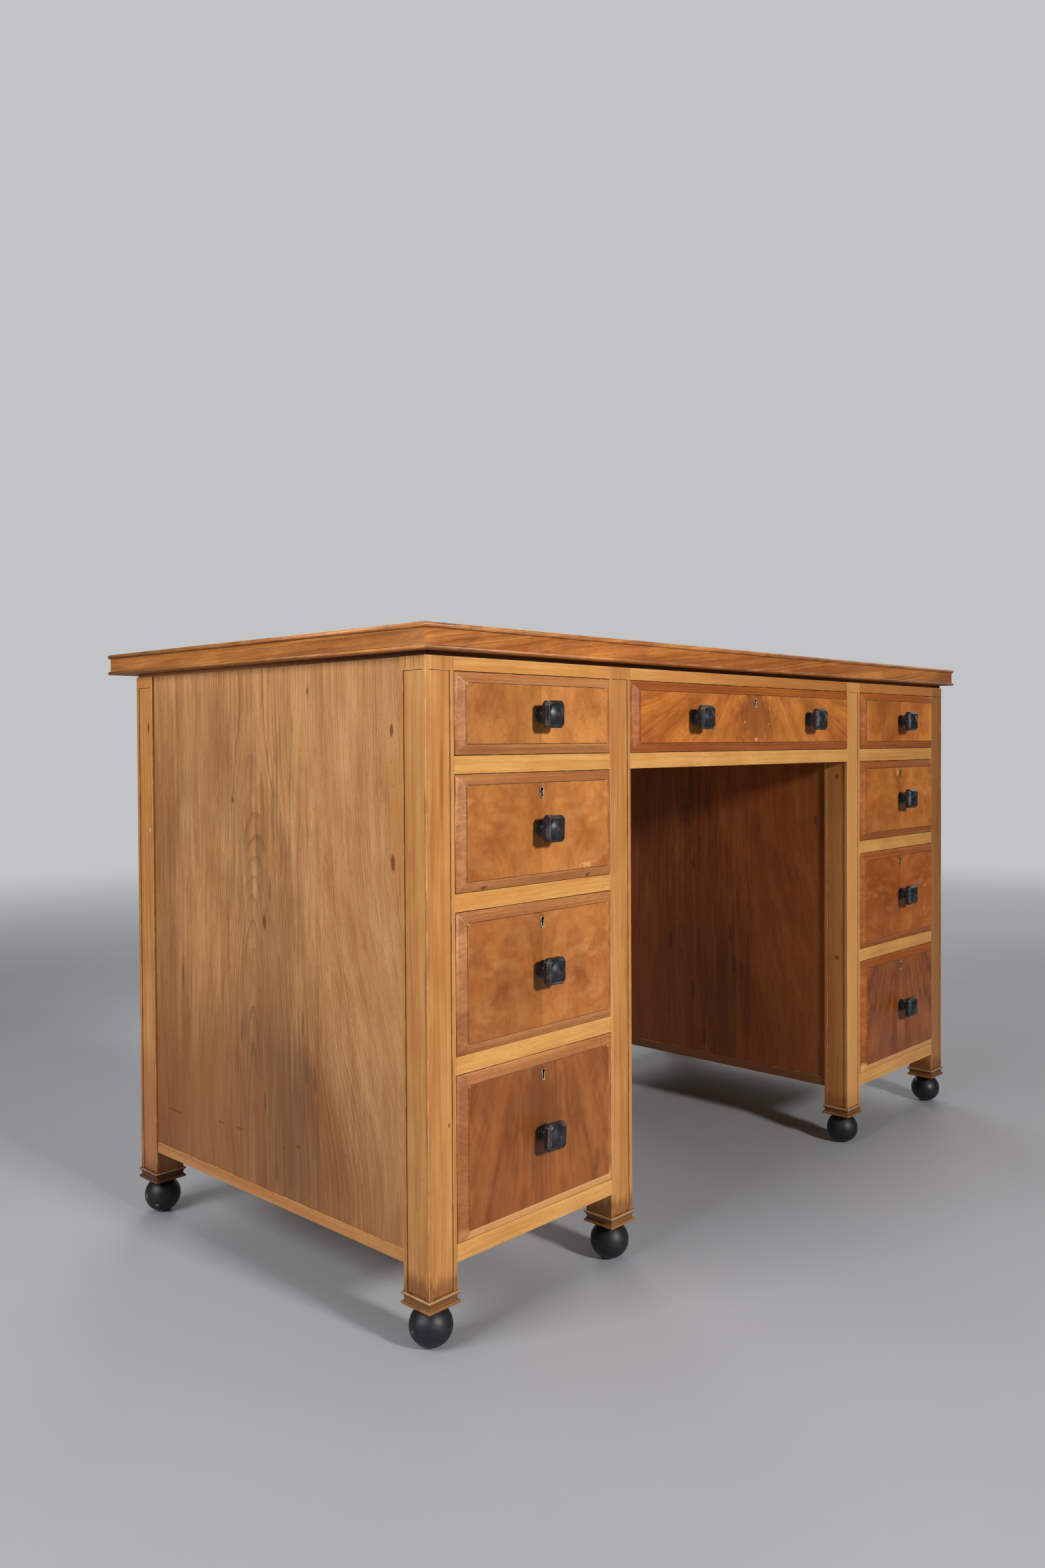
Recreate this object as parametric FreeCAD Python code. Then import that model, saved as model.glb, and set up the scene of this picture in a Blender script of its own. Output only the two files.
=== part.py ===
import FreeCAD, Part
import os
from FreeCAD import Vector

# A pedestal writing desk with nine drawers, in millimetres.
# +X runs to the right along the front, +Y to the back, +Z up. The origin is the bottom
# centre of the whole desk, knobs and top overhang included.

os.makedirs("parts", exist_ok=True)

# ---------------------------------------------------------------- driving dimensions
# Carcass
CARCASS_WIDTH = 1238.0       # over the outer faces of the posts
CARCASS_DEPTH = 595.0        # over the front and back faces of the posts
KNEEHOLE_WIDTH = 552.0       # between the inner posts
POST = 41.0                  # square section
POST_SINK = 1.2              # depth of the sunk panel on each free face
POST_BEAD = 5.5              # border left beside the sunk panel

# Heights, from the floor up
COLLAR_HEIGHT = 14.0
COLLAR_PROUD = 2.4
BALL_PROUD = 1.1             # ball outside the collar's faces
BALL_DIAMETER = POST + 2 * (COLLAR_PROUD + BALL_PROUD)
BALL_FLAT = 1.0              # turned flat under the ball and on top of it
FOOT_HEIGHT = BALL_DIAMETER - 2 * BALL_FLAT               # floor to the underside of the collar
RAIL_LIFT = 29.0             # collar top to the underside of the bottom rail
RAIL_HEIGHT = 19.6
TOP_RAIL_HEIGHT = 15.0
OPENING_HEIGHTS = (181.8, 155.4, 128.6, 91.0)   # drawer openings, bottom to top
SPACER_HEIGHT = 5.0
TOP_THICKNESS = 28.0

# Top
OVER_SIDE = 15.0
OVER_FRONT = 16.0
OVER_BACK = 51.0
EDGING_WIDTH = 24.0
EDGING_BEAD = 2.5            # how far both beads stand out of the fascia
UPPER_BEAD = 6.0
LOWER_BEAD = 4.4
SPACER_SETBACK = 2.0         # behind the post face
SPACER_WIDTH = 55.0

# Panels, rails and runners
PANEL_INSET = 2.0            # rails and back panels behind the post face
SIDE_PANEL_INSET = 3.2       # side panels, so that the rail below stands proud of them
SIDE_PANEL = 12.0
BACK_PANEL = 10.0
GROOVE_DEPTH = 6.0
SIDE_RAIL_HEIGHT = 14.5
SIDE_RAIL_THICK = 16.0
RAIL_DEPTH = 30.0
TENON_LENGTH = 12.0
TENON_THICK = 10.0
TENON_SETBACK = 8.0          # rail face to the tenon's cheek
TENON_SHOULDER = 3.0
RUNNER_WIDTH = 14.0
GUIDE_RISE = 12.0            # guide above the runner
BOARD_THICK = 8.0
BOARD_LIFT = 3.0             # above the underside of the bottom rail
STOP_LENGTH = 25.0
STOP_DEPTH = 10.0
STOP_HEIGHT = 4.0
STOP_INSET = 45.0

# Drawers
DRAWER_PLAY = 0.8            # round the front, in its opening
FRONT_CORE = 16.0
FRONT_RAISE = 6.5            # field in front of the post face
BEVEL_WIDTH = 11.0
DRAWER_BACK_GAP = 45.0       # back of the box to the back of the posts
DRAWER_LENGTH = CARCASS_DEPTH - DRAWER_BACK_GAP
DRAWER_SIDE = 10.0
SIDE_LAP = 8.0               # side let into the front
SIDE_DROP = 5.0              # side below the top of the opening
RUN_CLEARANCE = 0.4          # side above the runner
DRAWER_BACK_DROP = 8.0
BOTTOM_THICK = 5.0
BOTTOM_LIFT = 8.0
BOTTOM_TONGUE = 4.0

# Knobs
KNOB_HEAD = 31.0             # across the flats
KNOB_HEAD_CHAMFER = 4.5      # corners cut off the head
KNOB_HEAD_THICK = 8.8
KNOB_STEM = 15.2             # field to the back of the head
KNOB_ROSE = 21.0
KNOB_ROSE_THICK = 2.0
KNOB_NECK_SHARE = 0.58       # neck's radius as a share of the rose's
KNOB_NECK_START = 5.0        # field to the thin part of the neck
KNOB_NECK_END = 10.0
KNOB_NECK_WAIST = 0.8        # how far the neck pulls in between them
KNOB_FLARE_SHARE = 0.42      # radius of the flare under the head, as a share of the head
KNOB_BOSS = 18.0
KNOB_BOSS_RISE = 3.0
KNOB_SPIGOT = 8.0
KNOB_SPIGOT_LENGTH = 18.0
CENTRE_KNOB_SPACING = 294.0

# Locks
KEYHOLE_DROP = 23.0          # top of the opening to the middle of the keyhole
KEYHOLE_HEAD = 2.4           # radius of the opening's round part
KEYHOLE_SLOT = 2.6
KEYHOLE_HEIGHT = 11.0
THREAD_WALL = 1.1            # brass thread round the keyhole
THREAD_DEPTH = 3.0
THREAD_PROUD = 0.3
LOCK_WIDTH = 40.0
LOCK_HEIGHT = 32.0
LOCK_DEPTH = 11.0
BOLT_WIDTH = 14.0
BOLT_THICK = 4.0
BOLT_LENGTH = 16.0
BOLT_THROW = 6.0
BOLT_SETBACK = 9.5           # post face to the bolt's front face
KEY_PIN = 2.4
KEY_WELL = 7.0
KEY_WELL_DEPTH = 4.0

# Fasteners and fits
SCREW_SHANK = 4.2
SCREW_HEAD = 8.5
SCREW_HEAD_HEIGHT = 3.0
SCREW_BITE = 13.0            # into the top board
SCREW_SPACING = 160.0
FOOT_SPIGOT = 12.0
FOOT_SPIGOT_IN_POST = 25.0
JOINT_FIT = 0.1              # round glued tenons, tongues and spigots
SLIDE_FIT = 0.3              # round pieces that move past each other

# ---------------------------------------------------------------- derived places
KNOB_REACH = FRONT_RAISE + KNOB_STEM + KNOB_HEAD_THICK + KNOB_BOSS_RISE
Y_FRONT = -(CARCASS_DEPTH + OVER_BACK - KNOB_REACH) / 2
Y_BACK = Y_FRONT + CARCASS_DEPTH
X_OUTER = CARCASS_WIDTH / 2
X_INNER = KNEEHOLE_WIDTH / 2

Z_COLLAR_TOP = FOOT_HEIGHT + COLLAR_HEIGHT
Z_RAIL = Z_COLLAR_TOP + RAIL_LIFT
OPENINGS = []                # (bottom, top) of each drawer opening, from the bottom up
z_level = Z_RAIL + RAIL_HEIGHT
for height in OPENING_HEIGHTS:
    OPENINGS.append((z_level, z_level + height))
    z_level += height + RAIL_HEIGHT
Z_OPENING_TOP = OPENINGS[-1][1]
Z_CARCASS = Z_OPENING_TOP + TOP_RAIL_HEIGHT
Z_TOP_UNDER = Z_CARCASS + SPACER_HEIGHT
Z_TOP = Z_TOP_UNDER + TOP_THICKNESS
Z_SIDE_RAIL_TOP = Z_RAIL + SIDE_RAIL_HEIGHT
Z_BOARD_TOP = Z_RAIL + BOARD_LIFT + BOARD_THICK
Z_CENTRE_RAIL = OPENINGS[-1][0] - RAIL_HEIGHT

Y_FIELD = Y_FRONT - FRONT_RAISE
Y_CORE_BACK = Y_FRONT + FRONT_CORE
Y_BACK_PANEL = Y_BACK - PANEL_INSET - BACK_PANEL      # its front face
Y_BACK_RAIL = Y_BACK - PANEL_INSET - RAIL_DEPTH

PEDESTALS = {"left": -1, "right": 1}


# ---------------------------------------------------------------- helpers
def block(x0, x1, y0, y1, z0, z1):
    """Box between two opposite corners, given in any order."""
    x0, x1 = sorted((x0, x1))
    y0, y1 = sorted((y0, y1))
    z0, z1 = sorted((z0, z1))
    return Part.makeBox(x1 - x0, y1 - y0, z1 - z0, Vector(x0, y0, z0))


def grown(shape, margin):
    """The bounding box of a shape, grown by a margin on every side."""
    b = shape.BoundBox
    return block(b.XMin - margin, b.XMax + margin, b.YMin - margin, b.YMax + margin,
                 b.ZMin - margin, b.ZMax + margin)


def cut_all(shape, tools):
    """Cut only the tools that reach the shape."""
    near = [tool for tool in tools if shape.BoundBox.intersect(tool.BoundBox)]
    return shape.cut(near) if near else shape


def outline(steps, place):
    """Closed wire. A step is a point, or (middle, end) of an arc; place maps 2D to 3D."""
    edges = []
    here = steps[0]
    for step in steps[1:] + [steps[0]]:
        if isinstance(step[0], tuple):
            middle, end = step
            edges.append(Part.Arc(place(*here), place(*middle), place(*end)).toShape())
        else:
            end = step
            if end == here:
                continue
            edges.append(Part.makeLine(place(*here), place(*end)))
        here = end
    return Part.Wire(edges)


def mitred_frame(steps, x0, x1, y0, y1, reach):
    """Four moulding lengths round a rectangle, mitred at its corners.

    The profile is in (out, z): out is measured outwards from the rectangle, and the
    profile stays within reach of it on both sides.
    """
    low, tall = -1000.0, 3000.0
    corners = [Vector(x0, y0, low), Vector(x1, y0, low), Vector(x1, y1, low), Vector(x0, y1, low)]
    outwards = [Vector(0, -1, 0), Vector(1, 0, 0), Vector(0, 1, 0), Vector(-1, 0, 0)]
    lengths = []
    for i, out in enumerate(outwards):
        start, end = corners[i], corners[(i + 1) % 4]
        along = (end - start).normalize()
        first = Vector(start.x, start.y, 0) - along * reach

        def place(distance, z, first=first, out=out):
            return first + out * distance + Vector(0, 0, z)

        bar = Part.Face(outline(steps, place)).extrude(along * ((end - start).Length + 2 * reach))
        tip_a = start + (out - along) * reach
        tip_b = end + (out + along) * reach
        root_a = start - (out - along) * reach
        root_b = end - (out + along) * reach
        wedge = Part.Face(Part.makePolygon([tip_a, tip_b, root_b, root_a, tip_a]))
        lengths.append(bar.common(wedge.extrude(Vector(0, 0, tall))))
    return lengths


def keyhole(z_mid, x_mid, grow, y0, y1):
    """Keyhole-shaped prism along Y, with its outline grown by a wall thickness."""
    radius = KEYHOLE_HEAD + grow
    z_head = z_mid + KEYHOLE_HEIGHT / 2 - KEYHOLE_HEAD
    head = Part.makeCylinder(radius, y1 - y0, Vector(x_mid, y0, z_head), Vector(0, 1, 0))
    half = KEYHOLE_SLOT / 2 + grow
    slot = block(x_mid - half, x_mid + half, y0, y1, z_mid - KEYHOLE_HEIGHT / 2 - grow, z_head)
    return head.fuse(slot).removeSplitter()


def screw(x, y, z, length):
    """Countersunk screw standing up from z, head at the bottom."""
    head = Part.makeCone(SCREW_HEAD / 2, SCREW_SHANK / 2, SCREW_HEAD_HEIGHT, Vector(x, y, z))
    return head.fuse(Part.makeCylinder(SCREW_SHANK / 2, length, Vector(x, y, z)))


def write(name, solids):
    """One STEP file per node; a node with several pieces keeps them as separate solids."""
    shape = solids[0] if len(solids) == 1 else Part.makeCompound(solids)
    shape.exportStep("parts/" + name + ".step")


# ---------------------------------------------------------------- posts and feet
def post_places():
    """(x low, y low, free X side, free Y side) of each post."""
    places = []
    for side in PEDESTALS.values():
        for x_face, free_x in ((side * X_OUTER, side), (side * X_INNER, -side)):
            x_low = x_face if free_x < 0 else x_face - POST
            for y_low, free_y in ((Y_FRONT, -1), (Y_BACK - POST, 1)):
                places.append((x_low, y_low, free_x, free_y))
    return places


def make_post(x_low, y_low, free_x, free_y, housings):
    """Post with a sunk panel on both free faces and its joints cut."""
    body = block(x_low, x_low + POST, y_low, y_low + POST, Z_COLLAR_TOP, Z_CARCASS)
    x_face = x_low if free_x < 0 else x_low + POST
    y_face = y_low if free_y < 0 else y_low + POST
    sunk_x = block(x_face, x_face - free_x * POST_SINK, y_low + POST_BEAD,
                   y_low + POST - POST_BEAD, Z_COLLAR_TOP, Z_OPENING_TOP)
    sunk_y = block(x_low + POST_BEAD, x_low + POST - POST_BEAD, y_face,
                   y_face - free_y * POST_SINK, Z_COLLAR_TOP, Z_OPENING_TOP)
    hole = Part.makeCylinder(FOOT_SPIGOT / 2 + JOINT_FIT, FOOT_SPIGOT_IN_POST + JOINT_FIT,
                             Vector(x_low + POST / 2, y_low + POST / 2, Z_COLLAR_TOP))
    return cut_all(body.cut([sunk_x, sunk_y, hole]), housings)


def make_collar(x_low, y_low):
    """Square moulded collar under a post: a bead at its top and bottom, a hollow between."""
    bead = COLLAR_HEIGHT / 3
    hollow_low, hollow_high = FOOT_HEIGHT + bead, FOOT_HEIGHT + 2 * bead
    core = POST / 4
    profile = [(-core, FOOT_HEIGHT), (0.0, FOOT_HEIGHT),
               ((COLLAR_PROUD, FOOT_HEIGHT + bead / 2), (0.0, hollow_low)),
               (0.0, hollow_high),
               ((COLLAR_PROUD, hollow_high + bead / 2), (0.0, Z_COLLAR_TOP)),
               (-core, Z_COLLAR_TOP)]
    lengths = mitred_frame(profile, x_low, x_low + POST, y_low, y_low + POST, POST / 2)
    inner = block(x_low + core, x_low + POST - core, y_low + core, y_low + POST - core,
                  FOOT_HEIGHT, Z_COLLAR_TOP)
    hole = Part.makeCylinder(FOOT_SPIGOT / 2 + JOINT_FIT, COLLAR_HEIGHT,
                             Vector(x_low + POST / 2, y_low + POST / 2, FOOT_HEIGHT))
    return inner.fuse(lengths).removeSplitter().cut(hole)


def make_ball_foot(x_low, y_low):
    """Turned ball, flat below and above, with a spigot up through the collar."""
    x, y = x_low + POST / 2, y_low + POST / 2
    z_centre = BALL_DIAMETER / 2 - BALL_FLAT
    ball = Part.makeSphere(BALL_DIAMETER / 2, Vector(x, y, z_centre))
    slab = block(x - BALL_DIAMETER, x + BALL_DIAMETER, y - BALL_DIAMETER, y + BALL_DIAMETER,
                 0, FOOT_HEIGHT)
    root = BALL_FLAT                         # the spigot starts inside the ball
    spigot = Part.makeCylinder(FOOT_SPIGOT / 2, COLLAR_HEIGHT + FOOT_SPIGOT_IN_POST + root,
                               Vector(x, y, FOOT_HEIGHT - root))
    return ball.common(slab).fuse(spigot).removeSplitter()


# ---------------------------------------------------------------- rails and panels
def tenoned_rail(x0, x1, y0, z0, z1, housings, depth=RAIL_DEPTH):
    """Rail along X between two posts, with a stub tenon into each."""
    body = block(x0, x1, y0, y0 + depth, z0, z1)
    tenon = block(x0 - TENON_LENGTH, x1 + TENON_LENGTH, y0 + TENON_SETBACK,
                  y0 + TENON_SETBACK + TENON_THICK, z0 + TENON_SHOULDER, z1 - TENON_SHOULDER)
    housings.append(grown(tenon, JOINT_FIT))
    return body.fuse(tenon).removeSplitter()


def opening_span(side):
    """X range of a pedestal's drawer openings."""
    return tuple(sorted((side * (X_INNER + POST), side * (X_OUTER - POST))))


def make_front_rails(housings):
    """Top, dividing and bottom rails of both pedestals and of the centre."""
    rails = []
    for side in PEDESTALS.values():
        x0, x1 = opening_span(side)
        for low, high in OPENINGS:
            rails.append(tenoned_rail(x0, x1, Y_FRONT, low - RAIL_HEIGHT, low, housings))
        rails.append(tenoned_rail(x0, x1, Y_FRONT, Z_OPENING_TOP, Z_CARCASS, housings))
    rails.append(tenoned_rail(-X_INNER, X_INNER, Y_FRONT, Z_CENTRE_RAIL,
                              Z_CENTRE_RAIL + RAIL_HEIGHT, housings))
    rails.append(tenoned_rail(-X_INNER, X_INNER, Y_FRONT, Z_OPENING_TOP, Z_CARCASS, housings))
    return rails


def make_back_rails(housings):
    """Top and bottom rails across the back of each pedestal and of the centre."""
    spans = [opening_span(side) + (Z_RAIL, Z_SIDE_RAIL_TOP) for side in PEDESTALS.values()]
    spans.append((-X_INNER, X_INNER, Z_CENTRE_RAIL, Z_CENTRE_RAIL + RAIL_HEIGHT))
    rails = []
    for x0, x1, low, high in spans:
        rails.append(tenoned_rail(x0, x1, Y_BACK_RAIL, low, high, housings))
        rails.append(tenoned_rail(x0, x1, Y_BACK_RAIL, Z_OPENING_TOP, Z_CARCASS, housings))
    return rails


def make_back_panels(housings):
    """Back panels of the left pedestal, the right pedestal and the centre."""
    y0, y1 = Y_BACK_PANEL, Y_BACK_PANEL + BACK_PANEL
    panels = []
    spans = [opening_span(side) + (Z_SIDE_RAIL_TOP,) for side in PEDESTALS.values()]
    spans.append((-X_INNER, X_INNER, Z_CENTRE_RAIL + RAIL_HEIGHT))
    for x0, x1, low in spans:
        panel = block(x0 - GROOVE_DEPTH, x1 + GROOVE_DEPTH, y0, y1, low, Z_OPENING_TOP)
        housings.append(grown(panel, JOINT_FIT))
        panels.append(panel)
    return panels


def side_faces():
    """(post face X, direction into the pedestal) of the four pedestal sides."""
    return [(side * x, side * inwards) for side in PEDESTALS.values()
            for x, inwards in ((X_OUTER, -1), (X_INNER, 1))]


def make_side_panels(housings):
    """Outer and kneehole side panels, housed in grooves in the posts."""
    panels = []
    for x_face, inwards in side_faces():
        x0 = x_face + inwards * SIDE_PANEL_INSET
        panel = block(x0, x0 + inwards * SIDE_PANEL, Y_FRONT + POST - GROOVE_DEPTH,
                      Y_BACK - POST + GROOVE_DEPTH, Z_SIDE_RAIL_TOP, Z_CARCASS)
        housings.append(grown(panel, JOINT_FIT))
        panels.append(panel)
    return panels


def make_side_rails(housings):
    """Rail under each side panel, tenoned into the posts."""
    rails = []
    for x_face, inwards in side_faces():
        x0 = x_face + inwards * PANEL_INSET
        body = block(x0, x0 + inwards * SIDE_RAIL_THICK, Y_FRONT + POST, Y_BACK - POST,
                     Z_RAIL, Z_SIDE_RAIL_TOP)
        cheek = x0 + inwards * (SIDE_RAIL_THICK - TENON_THICK) / 2
        tenon = block(cheek, cheek + inwards * TENON_THICK, Y_FRONT + POST - TENON_LENGTH,
                      Y_BACK - POST + TENON_LENGTH, Z_RAIL + TENON_SHOULDER,
                      Z_SIDE_RAIL_TOP - TENON_SHOULDER)
        housings.append(grown(tenon, JOINT_FIT))
        rails.append(body.fuse(tenon).removeSplitter())
    return rails


# ---------------------------------------------------------------- what carries the drawers
def make_runners():
    """Runners under every drawer and kickers over the top ones, as strips along Y."""
    strips = []
    spans = [opening_span(side) for side in PEDESTALS.values()]
    for x0, x1 in spans:
        levels = [(Z_BOARD_TOP, OPENINGS[0][0])]
        levels += [(low - RAIL_HEIGHT, low) for low, high in OPENINGS[1:]]
        for low, high in levels:
            y_end = Y_BACK_RAIL if low < Z_SIDE_RAIL_TOP else Y_BACK_PANEL
            for x, width in ((x0, RUNNER_WIDTH), (x1, -RUNNER_WIDTH)):
                strips.append(block(x, x + width, Y_FRONT + RAIL_DEPTH, y_end, low, high))
    for x, width in ((-X_INNER, RUNNER_WIDTH), (X_INNER, -RUNNER_WIDTH)):
        strips.append(block(x, x + width, Y_FRONT + RAIL_DEPTH, Y_BACK_RAIL,
                            Z_CENTRE_RAIL, Z_CENTRE_RAIL + RAIL_HEIGHT))
    for x0, x1 in spans + [(-X_INNER, X_INNER)]:
        for x, width in ((x0, RUNNER_WIDTH), (x1, -RUNNER_WIDTH)):
            strips.append(block(x, x + width, Y_FRONT + RAIL_DEPTH, Y_BACK_RAIL,
                                Z_OPENING_TOP, Z_CARCASS))
    return strips


def make_guides():
    """Strips between each side panel and the drawer sides, one per runner."""
    guides = []
    for x_face, inwards in side_faces():
        x_panel = x_face + inwards * (SIDE_PANEL_INSET + SIDE_PANEL)
        x_line = x_face + inwards * POST
        levels = [(Z_SIDE_RAIL_TOP, OPENINGS[0][0])]
        levels += [(low - RAIL_HEIGHT, low) for low, high in OPENINGS[1:]]
        for low, high in levels:
            guides.append(block(x_panel, x_line, Y_FRONT + POST, Y_BACK - POST,
                                low, high + GUIDE_RISE))
    return guides


def make_bottom_boards():
    """Board across the bottom of each pedestal, between its side rails."""
    inset = PANEL_INSET + SIDE_RAIL_THICK
    return [block(side * (X_INNER + inset), side * (X_OUTER - inset), Y_FRONT + POST,
                  Y_BACK - POST, Z_BOARD_TOP - BOARD_THICK, Z_BOARD_TOP)
            for side in PEDESTALS.values()]


def make_stops():
    """Pair of blocks on the rail behind each drawer front."""
    stops = []
    bays = [opening_span(side) + (low,) for side in PEDESTALS.values() for low, high in OPENINGS]
    bays.append((-X_INNER, X_INNER, OPENINGS[-1][0]))
    y0 = Y_CORE_BACK + SLIDE_FIT
    for x0, x1, z in bays:
        for x in (x0 + STOP_INSET, x1 - STOP_INSET - STOP_LENGTH):
            stops.append(block(x, x + STOP_LENGTH, y0, y0 + STOP_DEPTH, z, z + STOP_HEIGHT))
    return stops


# ---------------------------------------------------------------- top
def make_top():
    """Mitred edging, board, spacer strips under it and the screws that hold it down."""
    x0, x1 = -X_OUTER - OVER_SIDE, X_OUTER + OVER_SIDE
    y0, y1 = Y_FRONT - OVER_FRONT, Y_BACK + OVER_BACK
    fascia = EDGING_BEAD                     # fascia inside the outermost line
    z_low = Z_TOP_UNDER + LOWER_BEAD
    z_high = Z_TOP - UPPER_BEAD
    profile = [(-EDGING_WIDTH, Z_TOP_UNDER), (-fascia, Z_TOP_UNDER),
               ((0.0, Z_TOP_UNDER + LOWER_BEAD / 2), (-fascia, z_low)),
               (-fascia, z_high),
               ((0.0, Z_TOP - UPPER_BEAD / 2), (-fascia, Z_TOP)),
               (-EDGING_WIDTH, Z_TOP)]
    edging = mitred_frame(profile, x0, x1, y0, y1, EDGING_WIDTH + 1)
    board = block(x0 + EDGING_WIDTH, x1 - EDGING_WIDTH, y0 + EDGING_WIDTH, y1 - EDGING_WIDTH,
                  Z_TOP_UNDER, Z_TOP)
    sx, sy0, sy1 = X_OUTER - SPACER_SETBACK, Y_FRONT + SPACER_SETBACK, Y_BACK - SPACER_SETBACK
    strips = [block(-sx, sx, sy0, sy0 + SPACER_WIDTH, Z_CARCASS, Z_TOP_UNDER),
              block(-sx, sx, sy1 - SPACER_WIDTH, sy1, Z_CARCASS, Z_TOP_UNDER)]
    strips += [block(side * sx, side * (sx - SPACER_WIDTH), sy0 + SPACER_WIDTH,
                     sy1 - SPACER_WIDTH, Z_CARCASS, Z_TOP_UNDER) for side in PEDESTALS.values()]
    middles = [sum(opening_span(side)) / 2 for side in PEDESTALS.values()] + [0.0]
    length = TOP_RAIL_HEIGHT + SPACER_HEIGHT + SCREW_BITE
    rows = (Y_FRONT + RAIL_DEPTH - TENON_SETBACK, Y_BACK_RAIL + TENON_SETBACK)
    screws = [screw(x + offset, y, Z_OPENING_TOP, length) for y in rows for x in middles
              for offset in (-SCREW_SPACING / 2, SCREW_SPACING / 2)]
    holes = [Part.makeCylinder(SCREW_SHANK / 2, length, Vector(s.BoundBox.Center.x,
             s.BoundBox.Center.y, Z_OPENING_TOP)) for s in screws]
    return edging, cut_all(board, holes), [cut_all(strip, holes) for strip in strips], screws


# ---------------------------------------------------------------- drawers
def raised_field(x0, x1, z0, z1):
    """Bevelled raised panel in front of the drawer's core."""
    def ring(inset, y):
        a, b, c, d = x0 + inset, x1 - inset, z0 + inset, z1 - inset
        return Part.makePolygon([Vector(a, y, c), Vector(b, y, c), Vector(b, y, d),
                                 Vector(a, y, d), Vector(a, y, c)])
    return Part.makeLoft([ring(0, Y_FRONT), ring(BEVEL_WIDTH, Y_FIELD)], True, True)


def make_knob(x, z):
    """Turned rose and neck, square head with its corners cut off, low domed boss."""
    rose, head_back = KNOB_ROSE / 2, KNOB_STEM
    neck = rose * KNOB_NECK_SHARE
    flare = KNOB_HEAD * KNOB_FLARE_SHARE
    waist = (KNOB_NECK_START + KNOB_NECK_END) / 2
    profile = [(0.0, 0.0), (rose, 0.0), (rose, KNOB_ROSE_THICK), (neck, KNOB_NECK_START),
               ((neck - KNOB_NECK_WAIST, waist), (neck, KNOB_NECK_END)),
               (flare, head_back), (0.0, head_back)]

    def place(radius, out):
        return Vector(x + radius, Y_FIELD - out, z)

    turned = Part.Face(outline(profile, place)).revolve(Vector(x, Y_FIELD, z), Vector(0, 1, 0), 360)
    half, cut = KNOB_HEAD / 2, KNOB_HEAD / 2 - KNOB_HEAD_CHAMFER
    corners = [(cut, half), (half, cut), (half, -cut), (cut, -half),
               (-cut, -half), (-half, -cut), (-half, cut), (-cut, half)]
    points = [Vector(x + a, Y_FIELD - head_back, z + b) for a, b in corners]
    head = Part.Face(Part.makePolygon(points + [points[0]])).extrude(
        Vector(0, -KNOB_HEAD_THICK, 0))
    boss = Part.makeCone(KNOB_BOSS / 2, KNOB_BOSS / 4, KNOB_BOSS_RISE,
                         Vector(x, Y_FIELD - head_back - KNOB_HEAD_THICK, z), Vector(0, -1, 0))
    spigot = Part.makeCylinder(KNOB_SPIGOT / 2, KNOB_SPIGOT_LENGTH, Vector(x, Y_FIELD, z),
                               Vector(0, 1, 0))
    return turned.fuse([head, boss, spigot]).removeSplitter()


def make_lock(x, z_top):
    """Lock case with its bolt channel and key well, and the brass thread in the front."""
    z_case = z_top - DRAWER_PLAY
    z_key = z_top - KEYHOLE_DROP
    y_back = Y_CORE_BACK
    case = block(x - LOCK_WIDTH / 2, x + LOCK_WIDTH / 2, y_back - LOCK_DEPTH, y_back,
                 z_case - LOCK_HEIGHT, z_case)
    y_bolt = Y_FRONT + BOLT_SETBACK
    channel = block(x - BOLT_WIDTH / 2 - SLIDE_FIT, x + BOLT_WIDTH / 2 + SLIDE_FIT,
                    y_bolt - SLIDE_FIT, y_bolt + BOLT_THICK + SLIDE_FIT,
                    z_case - BOLT_LENGTH - 2 * SLIDE_FIT, z_case)
    y_well = y_back - LOCK_DEPTH
    well = Part.makeCylinder(KEY_WELL / 2, KEY_WELL_DEPTH, Vector(x, y_well, z_key), Vector(0, 1, 0))
    pin = Part.makeCylinder(KEY_PIN / 2, KEY_WELL_DEPTH, Vector(x, y_well, z_key), Vector(0, 1, 0))
    case = case.cut([channel, well.cut(pin)])
    thread = keyhole(z_key, x, THREAD_WALL, Y_FIELD - THREAD_PROUD, Y_FIELD + THREAD_DEPTH)
    thread = thread.cut(keyhole(z_key, x, 0.0, Y_FIELD - THREAD_PROUD, Y_FIELD + THREAD_DEPTH))
    bolt = block(x - BOLT_WIDTH / 2, x + BOLT_WIDTH / 2, y_bolt, y_bolt + BOLT_THICK,
                 z_case - BOLT_LENGTH - SLIDE_FIT, z_case - SLIDE_FIT)
    return case, thread, bolt


def lock_cuts(x, z_top):
    """What the lock takes out of the drawer front, and the mortise over its bolt."""
    z_key = z_top - KEYHOLE_DROP
    pocket = block(x - LOCK_WIDTH / 2 - JOINT_FIT, x + LOCK_WIDTH / 2 + JOINT_FIT,
                   Y_CORE_BACK - LOCK_DEPTH, Y_CORE_BACK,
                   z_top - DRAWER_PLAY - LOCK_HEIGHT - JOINT_FIT, z_top)
    seat = keyhole(z_key, x, THREAD_WALL, Y_FIELD, Y_FIELD + THREAD_DEPTH)
    way = keyhole(z_key, x, 0.0, Y_FIELD, Y_CORE_BACK - LOCK_DEPTH)
    y_bolt = Y_FRONT + BOLT_SETBACK
    play = 2 * SLIDE_FIT
    mortise = block(x - BOLT_WIDTH / 2 - play, x + BOLT_WIDTH / 2 + play, y_bolt - play,
                    y_bolt + BOLT_THICK + play, z_top, z_top + BOLT_THROW + play)
    return [pocket, seat, way], mortise


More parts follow.
